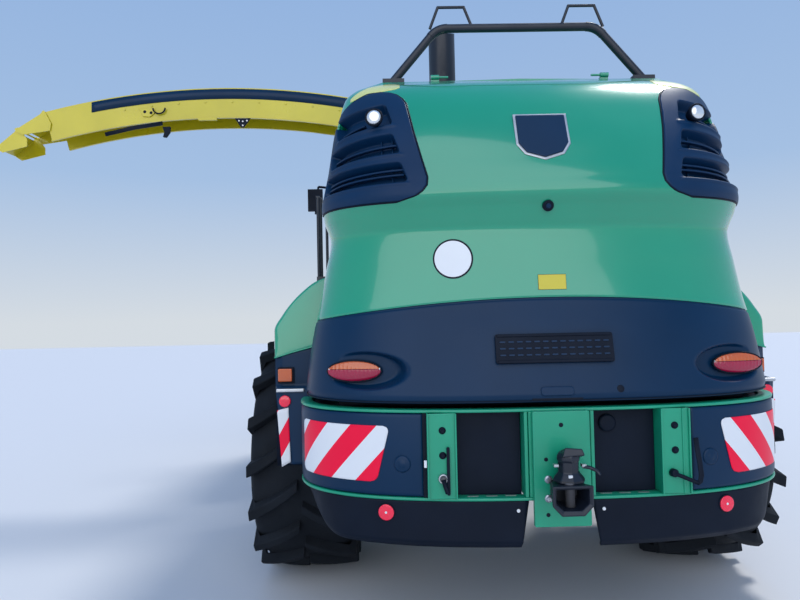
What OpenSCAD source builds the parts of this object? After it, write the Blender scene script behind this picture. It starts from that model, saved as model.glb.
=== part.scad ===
// Self-propelled forage harvester, standing on its four wheels with the spout
// swung to the left. All sizes are in millimetres.
// Every module is drawn from one datum: x runs forward from the rear face of
// the bumper, y to the left from the middle, z up from the ground. from_hitch()
// then moves it so that the origin is the middle of the tow hitch's pin.

/* [Wheels and axles] */
// Distance between the axles
wheelbase = 3200; // [3150:10:3350]
// Rear axle ahead of the bumper's rear face
rear_axle_x = 1680; // [1670:5:1720]
// Outer diameter of a front tyre
front_tyre_d = 2050; // [1980:10:2060]
// Width of a front tyre
front_tyre_w = 710; // [650:10:720]
// Middle of a front tyre from the middle of the machine
front_wheel_y = 1240; // [1240:5:1300]
// Outer diameter of a rear tyre
rear_tyre_d = 1560; // [1480:10:1565]
// Width of a rear tyre
rear_tyre_w = 600; // [520:10:610]
// Middle of a rear tyre from the middle of the machine
rear_wheel_y = 1300; // [1295:5:1340]
// Rim diameter of the front wheels
front_rim_d = 1067; // [960:1:1100]
// Rim diameter of the rear wheels
rear_rim_d = 711; // [660:1:740]
// Height of the tread lugs above the carcass
lug_h = 55; // [35:1:60]
// How far a lug falls back from the middle to the shoulder, as a share of the radius
lug_sweep = 0.25; // [0.15:0.01:0.3]
// Number of lugs on one side of a front tyre
front_lugs = 20; // [16:1:22]
// Number of lugs on one side of a rear tyre
rear_lugs = 17; // [14:1:19]
// Kingpin from the middle of the machine
kingpin_y = 930; // [915:5:940]
// Length of a steering arm, kingpin to tie rod
steer_arm = 280; // [240:5:300]

/* [Rear hood] */
// Lower edge of the rear hood above the ground
hood_low_z = 1310; // [1295:1:1330]
// Front edge of the rear hood
hood_front_x = 600; // [590:1:610]
// Wall of the moulded rear hood
hood_wall = 30; // [20:1:35]
// Roundness of the hood's corners, as the power of its outline
hood_power = 2.7; // [2.3:0.1:3.2]
// Height where the green cover meets the dark panel, in the middle
split_z = 1777; // [1750:1:1800]
// How much lower that joint is at the sides
split_drop = 77; // [40:1:100]
// Gap of the seams between panels
seam = 8; // [6:1:12]

/* [Body] */
// Length of the deck and the side doors
deck_len = 2840; // [2800:10:2880]
// Top of the deck above the ground
deck_z = 3000; // [2995:1:3010]
// Sheet of the deck
deck_wall = 25; // [15:1:30]
// Thickness of a side door
door_wall = 30; // [20:1:36]
// Outer diameter of the exhaust pipe
exhaust_d = 160; // [120:2:180]
// Top of the exhaust pipe above the ground
exhaust_top_z = 3440; // [3380:5:3450]

/* [Bumper and hitch] */
// Half width of the bumper
bumper_half_w = 1220; // [1190:5:1225]
// Top of the bumper above the ground
bumper_top_z = 1280; // [1270:1:1285]
// Underside of the bumper's lower flange
bumper_low_z = 875; // [865:1:885]
// Lowest edge of the skirt under the bumper
skirt_low_z = 652; // [600:1:700]
// Width of the hitch plate
hitch_plate_w = 250; // [230:2:280]
// Diameter of the hitch pin
hitch_pin_d = 38; // [30:1:40]
// Height of the hitch pin's middle above the ground
hitch_z = 930; // [920:1:950]
// Hitch pin behind the bumper's rear face
hitch_back = 140; // [135:1:150]

/* [Spout] */
// Turret ahead of the bumper's rear face
turret_x = 3950; // [3940:5:3960]
// Inner width of the spout
spout_w = 330; // [320:2:360]
// Height of the spout's section
spout_h = 330; // [300:2:350]
// Wall of the spout
spout_wall = 8; // [6:1:12]
// Highest point of the spout above the ground
spout_top_z = 4200; // [4180:5:4260]
// Reach from the turret to the highest point
spout_peak_r = 2530; // [2500:10:2560]
// Radius of the spout's long arch
spout_arch_r = 7670; // [7600:10:7800]
// Reach from the turret to the first end flap
spout_reach = 4360; // [4300:10:4400]
// Length of the first end flap
flap_len = 330; // [280:5:360]
// Length of the second end flap
flap_end_len = 300; // [240:5:340]

/* [Cab] */
// Half width of the cab
cab_half_w = 800; // [780:5:800]
// Rear wall of the cab from the bumper's rear face
cab_rear_x = 4500; // [4500:5:4520]
// Length of the cab's floor
cab_len = 1600; // [1560:10:1620]
// Underside of the cab's floor above the ground
cab_floor_z = 1900; // [1900:2:1920]
// Underside of the cab's roof above the ground
cab_roof_z = 3580; // [3550:5:3600]
// Wall of the cab's frame
cab_wall = 50; // [40:1:60]
// Thickness of the glass
glass_t = 8; // [6:1:10]

/* [Feeder] */
// Cutting drum's axis ahead of the bumper's rear face
drum_x = 5420; // [5410:5:5440]
// Cutting drum's axis above the ground
drum_z = 1050; // [1050:5:1070]
// Radius of the cutting drum's housing
drum_r = 360; // [340:1:362]
// Inner width of the feeder
feeder_w = 766; // [764:1:780]
// Plate of the feeder's sides
feeder_wall = 12; // [10:1:14]
// Diameter of the upper feed roll's core
roll_upper_d = 200; // [160:2:210]
// Diameter of the lower feed roll's core
roll_lower_d = 150; // [120:2:160]
// Bore that takes a header's lock pin
lock_bore_d = 40; // [30:1:50]

/* [Hidden] */

// Colours
green = "#1c8a5c";
dark = "#16223a";
black = "#15171b";
yellow = "#e8c21a";
steel = "#8d9196";
red = "#d01f2e";

// Clearances: a seat inside one body, a turning fit, and a running gap
seat = 0.3;
fit = 0.6;
run = 10;

front_axle_x = rear_axle_x + wheelbase;
front_axle_z = front_tyre_d / 2;
rear_axle_z = rear_tyre_d / 2;
front_rim_w = front_tyre_w - 90;
rear_rim_w = rear_tyre_w - 80;

// Main frame
rail_w = 120;
rail_in = 360;
rail_low = 950;
rail_top = 1250;
rail_rear = 200;
cheek_x = 4300;
cheek_in = 560;
cheek_t = 40;
cheek_end = 5760;
cheek_low = 500;
cheek_top = 1750;
post_w = 60;
post_y = 900;
waist_z = 1960;

deck_rear = hood_front_x + seam;
deck_low = 2775;
deck_flat = 745;
deck_crown = 14;
// Outer line of the deck, and the inner line a wall inside it
DECK_OUT = [[992, deck_low], [962, 2870], [917, 2918], [857, 2950], [deck_flat, deck_z - deck_crown], [0, deck_z]];
DECK_IN = [[992 - deck_wall - 3, deck_low], [962 - deck_wall, 2870 - 8], [917 - deck_wall * 0.75, 2918 - deck_wall * 0.7],
    [857 - deck_wall * 0.4, 2950 - deck_wall * 0.95], [deck_flat - 6, deck_z - deck_crown - deck_wall],
    [0, deck_z - deck_wall]];
// Hoops that carry the deck
HOOPS = [640, 2760, 3370];

// Rear hood: height, rear face in the middle, half width where it meets the body
HOOD = [
    [hood_low_z, 0, 1192], [1450, 35, 1176], [1615, 70, 1148], [1777, 118, 1112],
    [1950, 135, 1078], [2100, 140, 1050], [2150, 118, 1062], [2200, 92, 1080],
    [2270, 56, 1088], [2340, 75, 1076], [2450, 118, 1053], [2548, 159, 1038],
    [2660, 215, 1022], [2773, 283, 992], [2870, 370, 962], [2918, 440, 917],
    [2950, 515, 857], [deck_z - 15, 590, 760]];
hood_top = HOOD[len(HOOD) - 1][0];

// Half width of the body at a height
function half_at(z) = lookup(z, [for (h = HOOD) [h[0], h[2]]]);

side_rows = [for (h = HOOD) if (h[0] >= 1950 && h[0] < 2800) h];

// Spout: middle of the arch, and the elbow that meets it
arch_y = spout_peak_r;
arch_z = spout_top_z - spout_arch_r;
arch_mid = spout_arch_r - spout_h / 2;
elbow_r = 700;
joint_r = 450;
joint_a = acos((joint_r - arch_y) / arch_mid);
elbow_y = joint_r - elbow_r * cos(joint_a);
elbow_z = arch_z + (arch_mid - elbow_r) * sin(joint_a);
tip_a = acos((spout_reach - arch_y) / arch_mid);
elbow_end_a = 163;
tip_y = arch_y + spout_arch_r * cos(tip_a);
tip_z = arch_z + spout_arch_r * sin(tip_a);
lift_pivot = [-100, 3380];
barrel_pin = [360, 3175];
rod_pin = [1000, 3640];
// Pins that push the arm and the feeder; each sits loose in its rod's wide eye
rod_pin_d = 30;
lift_pin_d = 36;
turret_low = 3056;
turret_d = 620;

// Feeder lift cylinders, in x and z
lift_low = [5050, 620];
lift_high = [6150, 780];
lift_y = 485;
feeder_rear = drum_x + drum_r + 20;
feeder_front = 6450;
feeder_low = 760;
feeder_top = 1450;
adapter_half = 660;
adapter_low = 600;
adapter_top = 1560;

module from_hitch() {
    translate([hitch_back, 0, -hitch_z]) children();
}

// Extrudes a profile of y and z along x
module along_x(x0, x1) {
    translate([x0, 0, 0]) rotate([90, 0, 90]) linear_extrude(x1 - x0) children();
}

// Extrudes a profile of x and z along y, centred
module across(w, y = 0) {
    translate([0, y + w / 2, 0]) rotate([90, 0, 0]) linear_extrude(w) children();
}

module both_sides() {
    children();
    mirror([0, 1, 0]) children();
}

module y_pin(x, z, d, y0, y1) {
    translate([x, y0, z]) rotate([-90, 0, 0]) cylinder(d = d, h = y1 - y0, $fn = 48);
}

module x_pin(y, z, d, x0, x1) {
    translate([x0, y, z]) rotate([0, 90, 0]) cylinder(d = d, h = x1 - x0, $fn = 48);
}

// A round bar between two points
module bar(a, b, d) {
    v = b - a;
    l = norm(v);
    translate(a) rotate([0, acos(v[2] / l), atan2(v[1], v[0])]) cylinder(d = d, h = l, $fn = 32);
}

// One level of the hood: from the right side round the rear to the left side
function level(z, rear, half, front) = [for (i = [0:24]) let (a = -90 + i * 7.5)
    [front - (front - rear) * pow(max(cos(a), 0), 2 / hood_power),
     half * sign(a) * pow(abs(sin(a)), 2 / hood_power), z]];

// Closed solid through a row of rings, which turn clockwise seen from the far end
module loft(rings) {
    n = len(rings[0]);
    m = len(rings);
    walls = [for (j = [0:m - 2], i = [0:n - 1]) let (k = (i + 1) % n)
        each [[j * n + i, (j + 1) * n + k, (j + 1) * n + i], [j * n + i, j * n + k, (j + 1) * n + k]]];
    caps = [[for (i = [n - 1:-1:0]) i], [for (i = [0:n - 1]) (m - 1) * n + i]];
    polyhedron([for (r = rings) each r], concat(walls, caps));
}

// Solid of the rear hood, drawn in by an inset; a negative inset swells it
module hood_solid(inset, front) {
    loft([for (h = HOOD) level(
        h[0] - inset * (h[0] - hood_low_z) / (hood_top - hood_low_z) - (h[0] == hood_low_z ? inset / 4 : 0),
        h[1] + inset, h[2] - inset, front)]);
}

// Everything below the joint of the dark panel, raised by a gap
module below_split(gap) {
    reach = 1300;
    arc = [for (i = [-6:6]) let (y = i * reach / 6) [y, split_z + gap - split_drop * pow(y / 1045, 2)]];
    along_x(-100, hood_front_x + 50)
        polygon(concat(arc, [[reach, hood_low_z - 100], [-reach, hood_low_z - 100]]));
}

// Outline of a grille on the left, drawn out by a margin
function grille_outline(m) = [
    [667 - m, 2843 + m], [621 - m, 2726], [566 - m, 2401], [558 - m, 2334], [566 - m, 2300 - m],
    [585 - m, 2272 - m], [627, 2254 - m], [700, 2246 - m], [1100, 2246 - m], [1100, 2845 + m], [700, 2848 + m]];

// Openings of a grille: lower edge, upper edge, inner edge
GRILLE_ROWS = [[2318, 2435, 651], [2465, 2580, 678], [2632, 2767, 715]];
// Louvres: height and inner edge
LOUVRES = [[2355, 651], [2398, 651], [2512, 678], [2690, 830]];
grille_x = 500;

module grille_prism(m) {
    along_x(-50, grille_x + m) polygon(grille_outline(m));
}

// Lamps on the corners of the dark panel
lamp_at = [198, 940, 1439];
lamp_turn = 30;
lamp_w = 320;
lamp_h = 104;

module tail_lamp_form(m, depth) {
    translate(lamp_at) rotate([0, 0, -lamp_turn]) rotate([90, 0, -90])
        translate([0, 0, -depth / 2]) linear_extrude(depth)
            polygon([for (i = [0:35]) [(lamp_w / 2 + m) * cos(i * 10), (lamp_h / 2 + m) * sin(i * 10)]]);
}

module hood_upper() {
    from_hitch() color(green) {
        difference() {
            hood_solid(0, hood_front_x);
            hood_solid(hood_wall, hood_front_x + 2);
            below_split(seat);
            both_sides() grille_prism(0.5);
        }
        both_sides() for (y = hood_hinges) difference() {
            union() {
                y_pin(hood_axis[0], hood_axis[1], 26, y - knuckle_w / 2, y + knuckle_w / 2);
                translate([hood_axis[0] - 34, y - knuckle_w / 2, hood_top - 6])
                    cube([30, knuckle_w, hood_axis[1] - hood_top + 10]);
            }
            y_pin(hood_axis[0], hood_axis[1], 12 + fit, y - knuckle_w, y + knuckle_w);
        }
    }
}

module hood_lower() {
    from_hitch() color(dark) difference() {
        intersection() {
            difference() {
                hood_solid(0, hood_front_x);
                hood_solid(hood_wall, hood_front_x + 2);
            }
            below_split(0);
        }
        both_sides() tail_lamp_form(0.5, 300);
    }
}

module hood_grilles() {
    from_hitch() color(black) both_sides() {
        difference() {
            intersection() {
                hood_solid(-4, hood_front_x);
                grille_prism(0);
            }
            hood_solid(hood_wall - 4, hood_front_x + 2);
            for (r = GRILLE_ROWS) along_x(-50, grille_x - 40)
                polygon([[r[2], r[0]], [1100, r[0]], [1100, r[1]], [r[2] + 12, r[1]]]);
        }
        intersection() {
            difference() {
                hood_solid(6, hood_front_x);
                hood_solid(hood_wall + 16, hood_front_x + 2);
            }
            for (l = LOUVRES) translate([0, l[1] - 6, l[0] - 6]) cube([grille_x - 2, 500, 12]);
        }
    }
}

module tail_lamps() {
    from_hitch() color(red) both_sides() tail_lamp_form(0, 70);
}

plate_w = 535;
plate_h = 135;
plate_mid_z = 1543;

module plate_holder() {
    from_hitch() color(black) translate([25.6, -plate_w / 2, plate_mid_z - plate_h / 2])
        rotate([0, 12, 0]) cube([14, plate_w, plate_h]);
}

// Outline of the bumper seen from above, from the right side to the left
function bumper_line(inset) = [for (i = [0:36]) let (a = -90 + i * 5, half = bumper_half_w - inset)
    [hood_front_x - (hood_front_x - inset) * pow(max(cos(a), 0), 2 / hood_power),
     half * sign(a) * pow(abs(sin(a)), 2 / hood_power)]];

function reversed(list) = [for (i = [len(list) - 1:-1:0]) list[i]];

module bumper_band(inset, wall, z0, z1) {
    translate([0, 0, z0]) linear_extrude(z1 - z0)
        polygon(concat(bumper_line(inset), reversed(bumper_line(inset + wall))));
}

flange_t = 14;
flange_w = 62;
post_in = 462;
post_out = 600;
cover_in = post_out + seam;
weight_x0 = 80;
carrier_x = 140;

module bumper_frame() {
    from_hitch() color(green) {
        bumper_band(0, flange_w, bumper_top_z - flange_t, bumper_top_z);
        bumper_band(0, flange_w, bumper_low_z, bumper_low_z + flange_t);
        both_sides() {
            difference() {
                translate([14, post_in, bumper_low_z + flange_t])
                    cube([carrier_x - 12, post_out - post_in, bumper_top_z - bumper_low_z - 2 * flange_t]);
                translate([26, post_in + 12, bumper_low_z])
                    cube([200, post_out - post_in - 24, bumper_top_z - bumper_low_z]);
            }
            // Foot that bolts to the end of the main rail
            translate([carrier_x, rail_in + 20, rail_low])
                cube([rail_rear - carrier_x - seat, post_out - rail_in - 20, rail_top - rail_low]);
        }
        // Housing behind the hitch plate
        translate([0, -hitch_plate_w / 2 - 12, bumper_low_z + flange_t])
            cube([carrier_x + 5, hitch_plate_w + 24, bumper_top_z - bumper_low_z - 2 * flange_t]);
        translate([carrier_x, -rail_in - 25, rail_low]) cube([20, 2 * rail_in + 50, rail_top - rail_low]);
    }
}

skirt_round = 190;

module bumper_covers() {
    cover_low = bumper_low_z + flange_t + seat;
    cover_high = bumper_top_z - flange_t - seat;
    from_hitch() color(black) both_sides() {
        intersection() {
            bumper_band(4, 14, cover_low, cover_high);
            translate([-50, cover_in, cover_low - 10]) cube([700, 700, cover_high - cover_low + 20]);
        }
        translate([weight_x0, hitch_plate_w / 2 + 16, cover_low])
            cube([carrier_x - weight_x0 - seat, post_in - hitch_plate_w / 2 - 16 - seat, cover_high - cover_low]);
        intersection() {
            bumper_band(6, 14, skirt_low_z, bumper_low_z - seat);
            along_x(-50, 590) polygon(concat(
                [[140, bumper_low_z + 50], [175, skirt_low_z - 1]],
                [for (i = [0:6]) let (a = -90 + i * 15)
                    [1195 - skirt_round * 1.6 * (1 - cos(a)), skirt_low_z + skirt_round * (1 + sin(a))]],
                [[1230, bumper_low_z + 50]]));
        }
    }
}

module hitch_plate() {
    from_hitch() color(green) translate([-28, -hitch_plate_w / 2, 768])
        cube([28 - seat, hitch_plate_w, 503]);
}

module tow_hitch() {
    jaw_w = 150;
    from_hitch() color(black) {
        difference() {
            union() {
                translate([-52, -95, hitch_z - 105]) cube([24 - seat, 190, 240]);
                translate([-196, -jaw_w / 2, hitch_z - 62]) cube([146, jaw_w, 124]);
                translate([-158, -50, hitch_z + 60]) cube([108, 100, 130]);
            }
            translate([-210, -jaw_w / 2 + 22, hitch_z - 30]) cube([118, jaw_w - 44, 60]);
            translate([-hitch_back, 0, hitch_z - 80]) cylinder(d = hitch_pin_d + fit, h = 200, $fn = 48);
        }
        translate([-hitch_back, 0, hitch_z - 62]) cylinder(d = hitch_pin_d, h = 180, $fn = 48);
    }
}

module chassis_frame() {
    chute_room = 1600;
    hoop_out = concat([[post_y + post_w / 2, 1620], [post_y + post_w / 2, deck_low + 45]],
        [for (i = [1:5]) DECK_IN[i] - [0.2, seat]]);
    hoop_in = [[post_y - post_w / 2, 1620], [post_y - post_w / 2, deck_low + 15], [790, deck_z - 130],
        [700, deck_z - 95], [0, deck_z - 85]];
    from_hitch() color(black) {
        both_sides() {
            // Main rail, and the cheek that carries the drum and the cab
            translate([rail_rear, rail_in, rail_low]) cube([cheek_x - rail_rear, rail_w, rail_top - rail_low]);
            difference() {
                across(cheek_t, cheek_in + cheek_t / 2) polygon([
                    [cheek_x, rail_low], [4700, cheek_low + 60], [4950, cheek_low], [5180, cheek_low],
                    [cheek_end, rail_low - 60], [cheek_end, 1300], [5600, cheek_top], [cheek_x, cheek_top]]);
                y_pin(front_axle_x, front_axle_z, 260 + fit, cheek_in - 10, cheek_in + cheek_t + 10);
                y_pin(lift_low[0], lift_low[1], 50 + fit, cheek_in - 10, cheek_in + cheek_t + 10);
            }
            // Cab mounts
            for (x = [4600, 5480]) translate([x, cheek_in, cheek_top])
                cube([100, cheek_t, cab_floor_z - cheek_top]);
            // Upper rail along the waist, on its posts
            for (x = HOOPS) translate([x, rail_in + 20, rail_top]) cube([post_w, 80, 1630 - rail_top]);
            translate([HOOPS[0], post_y + post_w / 2 - 1, waist_z - 60])
                cube([HOOPS[2] + post_w - HOOPS[0], skin_in - post_y - post_w / 2 + 1 - seat, 50]);
        }
        for (x = HOOPS) {
            along_x(x, x + post_w) polygon(concat(mirrored(hoop_out), reversed(mirrored(hoop_in))));
            translate([x, -post_y, 1620]) cube([post_w, 2 * post_y, 80]);
        }
        for (x = [rail_rear, 2640]) translate([x, -rail_in, rail_low]) cube([90, 2 * rail_in, rail_top - rail_low]);
        translate([cheek_x, -cheek_in, rail_low]) cube([50, 2 * cheek_in, chute_room - rail_low]);
        // Brackets of the rear axle's pivot
        for (x = [rear_axle_x - 170, rear_axle_x + 120]) difference() {
            translate([x, -rail_in, rail_low - 250]) cube([50, 2 * rail_in, 400]);
            x_pin(0, rear_axle_z, 90 + fit, x - 10, x + 60);
        }
    }
}

module engine_block() {
    from_hitch() color(steel) translate([950, -rail_in - rail_w, rail_top]) cube([1600, 2 * (rail_in + rail_w), 320]);
    from_hitch() color(steel) translate([950, -400, rail_top + 320]) cube([1600, 800, 560]);
}

module front_axle() {
    inner = cheek_in + cheek_t;
    from_hitch() color(green) {
        y_pin(front_axle_x, front_axle_z, 260, -inner - 20, inner + 20);
        both_sides() {
            y_pin(front_axle_x, front_axle_z, 430, inner + seat, 790);
            y_pin(front_axle_x, front_axle_z, 140, 780, front_wheel_y - 20);
        }
    }
}

module rear_axle_beam() {
    from_hitch() color(black) {
        x_pin(0, rear_axle_z, 90, rear_axle_x - 175, rear_axle_x + 175);
        x_pin(0, rear_axle_z, 200, rear_axle_x - 110, rear_axle_x + 110);
        translate([rear_axle_x - 80, -kingpin_y + 50, rear_axle_z - 80]) cube([160, 2 * kingpin_y - 100, 160]);
        both_sides() difference() {
            translate([rear_axle_x, kingpin_y, rear_axle_z - 95]) cylinder(d = 130, h = 190, $fn = 64);
            translate([rear_axle_x, kingpin_y, rear_axle_z - 120]) cylinder(d = 60 + fit, h = 240, $fn = 64);
        }
    }
}

// Left steering knuckle: a yoke round the beam's end, a stub and an arm
module knuckle() {
    translate([rear_axle_x, kingpin_y, rear_axle_z]) {
        cylinder(d = 60, h = 250, center = true, $fn = 64);
        for (z = [-130, 101]) translate([0, 0, z]) {
            cylinder(d = 120, h = 30, $fn = 64);
            translate([-60, 0, 0]) cube([120, 110, 30]);
        }
        translate([-60, 80, -130]) cube([120, 30, 261]);
        translate([0, 108, 0]) rotate([-90, 0, 0]) cylinder(d = 110, h = rear_wheel_y - kingpin_y - 108, $fn = 64);
        difference() {
            union() {
                translate([-steer_arm, -30, -130]) cube([steer_arm, 60, 29]);
                translate([-steer_arm, 0, -130]) cylinder(d = 80, h = 29, $fn = 48);
            }
            translate([-steer_arm, 0, -140]) cylinder(d = 30 + fit, h = 60, $fn = 48);
        }
    }
}

module knuckle_left() {
    from_hitch() color(black) knuckle();
}

module knuckle_right() {
    from_hitch() color(black) mirror([0, 1, 0]) knuckle();
}

module tie_rod() {
    x = rear_axle_x - steer_arm;
    z = rear_axle_z - 165;
    from_hitch() color(steel) {
        y_pin(x, z, 44, -kingpin_y, kingpin_y);
        both_sides() {
            translate([x, kingpin_y, z - 30]) cylinder(d = 70, h = 60, $fn = 48);
            translate([x, kingpin_y, z]) cylinder(d = 30, h = 68, $fn = 48);
        }
    }
}

// Left rim: a drop-centre barrel and a dished disc on its hub
module rim(d, w, x, y, z, hub_in, hub_d) {
    r = d / 2;
    translate([x, y, z]) rotate([-90, 0, 0]) rotate_extrude($fn = 96) union() {
        polygon([[r - 14, -w / 2], [r + 16, -w / 2], [r + 16, -w / 2 + 12], [r - 0.3, -w / 2 + 12],
            [r - 0.3, -70], [r - 40, -50], [r - 40, 50], [r - 0.3, 70], [r - 0.3, w / 2 - 12],
            [r + 16, w / 2 - 12], [r + 16, w / 2], [r - 14, w / 2], [r - 14, 78], [r - 52, 60],
            [r - 52, -60], [r - 14, -78]]);
        polygon([[hub_d / 2 + fit / 2, -hub_in], [hub_d / 2 + 70, -hub_in], [hub_d / 2 + 90, -hub_in + 40],
            [r - 120, -20], [r - 45, -20], [r - 45, 0], [r - 128, 0], [hub_d / 2 + 78, -hub_in + 64],
            [hub_d / 2 + 60, 20], [hub_d / 2 + fit / 2, 20]]);
    }
}

// Lug of a tractor tread: a bent bar from the middle to the shoulder
module lug(r, w, bar_w, sweep) {
    deep = 130;
    translate([0, 0, r - deep]) linear_extrude(deep) polygon([
        [-bar_w / 2, 0], [bar_w / 2, 0], [bar_w / 2 - sweep * 0.56, w / 2], [bar_w * 0.62 - sweep, w],
        [-bar_w * 0.62 - sweep, w], [-bar_w / 2 - sweep * 0.56, w / 2]]);
}

module tyre(d, w, rim_d, rim_w, lugs, x, y, z) {
    r = d / 2;
    ri = rim_d / 2;
    side = ri + (r - ri) * 0.55;
    face = w / 2 - 6;
    bead = rim_w / 2 - 12 - seat;
    translate([x, y, z]) {
        rotate([-90, 0, 0]) rotate_extrude($fn = 96) polygon([
            [ri, -bead], [ri + 18, -bead], [ri + 55, -face + 16], [side, -face + 2], [r - lug_h - 65, -face * 0.96],
            [r - lug_h - 10, -face * 0.62], [r - lug_h, 0], [r - lug_h - 10, face * 0.62],
            [r - lug_h - 65, face * 0.96], [side, face - 2], [ri + 55, face - 16], [ri + 18, bead], [ri, bead]]);
        for (s = [0, 1], i = [0:lugs - 1]) mirror([0, s, 0])
            rotate([0, (i + s / 2) * 360 / lugs, 0]) translate([0, 6, 0]) lug(r - 4, w / 2 - 6, 64, lug_sweep * r);
    }
}

module front_rim() {
    rim(front_rim_d, front_rim_w, front_axle_x, front_wheel_y, front_axle_z, 220, 140);
}

module front_tyre() {
    tyre(front_tyre_d, front_tyre_w, front_rim_d, front_rim_w, front_lugs, front_axle_x, front_wheel_y, front_axle_z);
}

module rear_rim() {
    rim(rear_rim_d, rear_rim_w, rear_axle_x, rear_wheel_y, rear_axle_z, 160, 110);
}

module rear_tyre() {
    tyre(rear_tyre_d, rear_tyre_w, rear_rim_d, rear_rim_w, rear_lugs, rear_axle_x, rear_wheel_y, rear_axle_z);
}

module front_rim_left() {
    from_hitch() color(yellow) front_rim();
}

module front_rim_right() {
    from_hitch() color(yellow) mirror([0, 1, 0]) front_rim();
}

module front_tyre_left() {
    from_hitch() color(black) front_tyre();
}

module front_tyre_right() {
    from_hitch() color(black) mirror([0, 1, 0]) front_tyre();
}

module rear_rim_left() {
    from_hitch() color(yellow) rear_rim();
}

module rear_rim_right() {
    from_hitch() color(yellow) mirror([0, 1, 0]) rear_rim();
}

module rear_tyre_left() {
    from_hitch() color(black) rear_tyre();
}

module rear_tyre_right() {
    from_hitch() color(black) mirror([0, 1, 0]) rear_tyre();
}

// Drum housing, the chute over the axle and the fixed ring under the turret
module crop_chute() {
    from_hitch() color(green) {
        y_pin(drum_x, drum_z, 2 * drum_r, -feeder_w / 2, feeder_w / 2);
        both_sides() y_pin(drum_x, drum_z, 200, feeder_w / 2 - 1, cheek_in - seat);
        across(600) polygon([
            [5390, drum_z + drum_r - 8], [5120, 1230], [4720, 1300], [4200, 1780], [turret_x - 150, 2450],
            [turret_x - 150, 2980], [turret_x + 150, 2980], [turret_x + 165, 2480], [4470, 1860],
            [4950, 1640], [5340, 1560]]);
        translate([turret_x, 0, 2960]) cylinder(d = turret_d, h = turret_low - seat - 2960, $fn = 96);
    }
}

arch_r = 440;
fender_out = 1420;
fender_rear = hood_front_x + 12;
fender_front = fender_rear + 2170;
fender_low = 900;

// Wheel arch in x and z: two upright sides and a flat top with round corners
function arch_path(inset) = let (r = arch_r - inset, x0 = fender_rear + inset, x1 = fender_front - inset,
    top = 1640 - inset) concat(
    [[x0, fender_low]],
    [for (i = [0:8]) [x0 + r - r * cos(i * 11.25), top - r + r * sin(i * 11.25)]],
    [for (i = [8:-1:0]) [x1 - r + r * cos(i * 11.25), top - r + r * sin(i * 11.25)]],
    [[x1, fender_low]]);

// Bulging skin over the arch: reach outwards as a share, and height
SKIN = [[0, 1952], [0.35, 1920], [0.62, 1845], [0.87, 1730], [1, 1630], [1, 1525]];
// Places along the skin, and how much of its bulge is left there
SKIN_X = [[0, 0.88], [30, 0.95], [80, 0.98], [200, 1], [1960, 1], [2100, 0.96], [2170, 0.88]];
skin_in = 1000;
skin_t = 18;
cap_t = 10;

function skin_ring(x, share) = let (reach = (fender_out + 5 - skin_in) * share) concat(
    [for (p = SKIN) [x, skin_in + reach * p[0], p[1]]],
    [for (p = reversed(SKIN)) [x, skin_in + reach * p[0] - skin_t * p[0], p[1] - (p[1] > 1600 ? skin_t : 0)]]);

// Room under the skin, down to the arch's feet
function skin_room(x, share) = let (reach = (fender_out + 5 - skin_in) * share) concat(
    [for (p = SKIN) [x, skin_in + reach * p[0], p[1]]],
    [[x, skin_in + reach, fender_low - 50], [x, skin_in, fender_low - 50]]);

module fenders() {
    from_hitch() both_sides() {
        color(black) intersection() {
            across(400, 1235) polygon(concat(arch_path(0), reversed(arch_path(28))));
            loft([for (q = SKIN_X) skin_room(fender_rear + q[0], q[1])]);
        }
        color(green) {
            difference() {
                loft([for (q = SKIN_X) skin_ring(fender_rear + q[0], q[1])]);
                across(500, 1400) polygon(arch_path(28));
            }
            // Rear end of the skin, down to the dark panel
            along_x(fender_rear, fender_rear + cap_t) polygon(concat(
                [for (p = SKIN) [skin_in + (fender_out + 5 - skin_in) * SKIN_X[0][1] * p[0], p[1]]],
                [[1370, 1478], [1300, 1507], [1185, 1536], [1040, 1570], [skin_in, 1580]]));
        }
    }
}

// Lights on the rear panel of a fender: middle in y and z
side_light = [1316, 1385];
side_reflector = [1318, 1254];
back_t = 5.7;

module fender_panels() {
    from_hitch() color(dark) both_sides() {
        along_x(fender_rear - back_t - seat, fender_rear - seat) difference() {
            polygon([[1040, 620], [1160, 620], [1281, 796], [1322, 912], [1376, 1300], [1376, 1483], [1300, 1512],
                [1185, 1541], [1040, 1575]]);
            translate(side_light) square([79, 73], center = true);
        }
        // Trim strip across the panel
        along_x(fender_rear - back_t - 14, fender_rear - back_t - seat / 2)
            polygon([[1216, 1303], [1374, 1303], [1374, 1321], [1216, 1321]]);
    }
}

module side_lamps() {
    from_hitch() color(red) both_sides() {
        along_x(fender_rear - back_t - 14, fender_rear - seat)
            translate(side_light) square([78, 72], center = true);
        translate([fender_rear - back_t - 2 * seat - 10, side_reflector[0], side_reflector[1]])
            rotate([0, 90, 0]) cylinder(d = 64, h = 10, $fn = 48);
        // Striped board below the reflector
        along_x(fender_rear - back_t - 2 * seat - 3, fender_rear - back_t - 2 * seat)
            polygon([[1296, 950], [1318, 935], [1366, 1208], [1304, 1215]]);
    }
}

knuckle_w = 50;
// Hinge axes: the doors' in y and z, the rear hood's in x and z
door_axis = [1003, deck_low - 2];
door_hinges = [for (i = [0:2]) deck_rear + 300 + i * 1100];
hood_axis = [hood_front_x + seam / 2, deck_z + 12];
hood_hinges = [420];

// A line of y and z with its mirror image, from the left to the right
function mirrored(line) = concat(line, [for (p = reversed(line)) if (p[0] > 0) [-p[0], p[1]]]);

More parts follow.
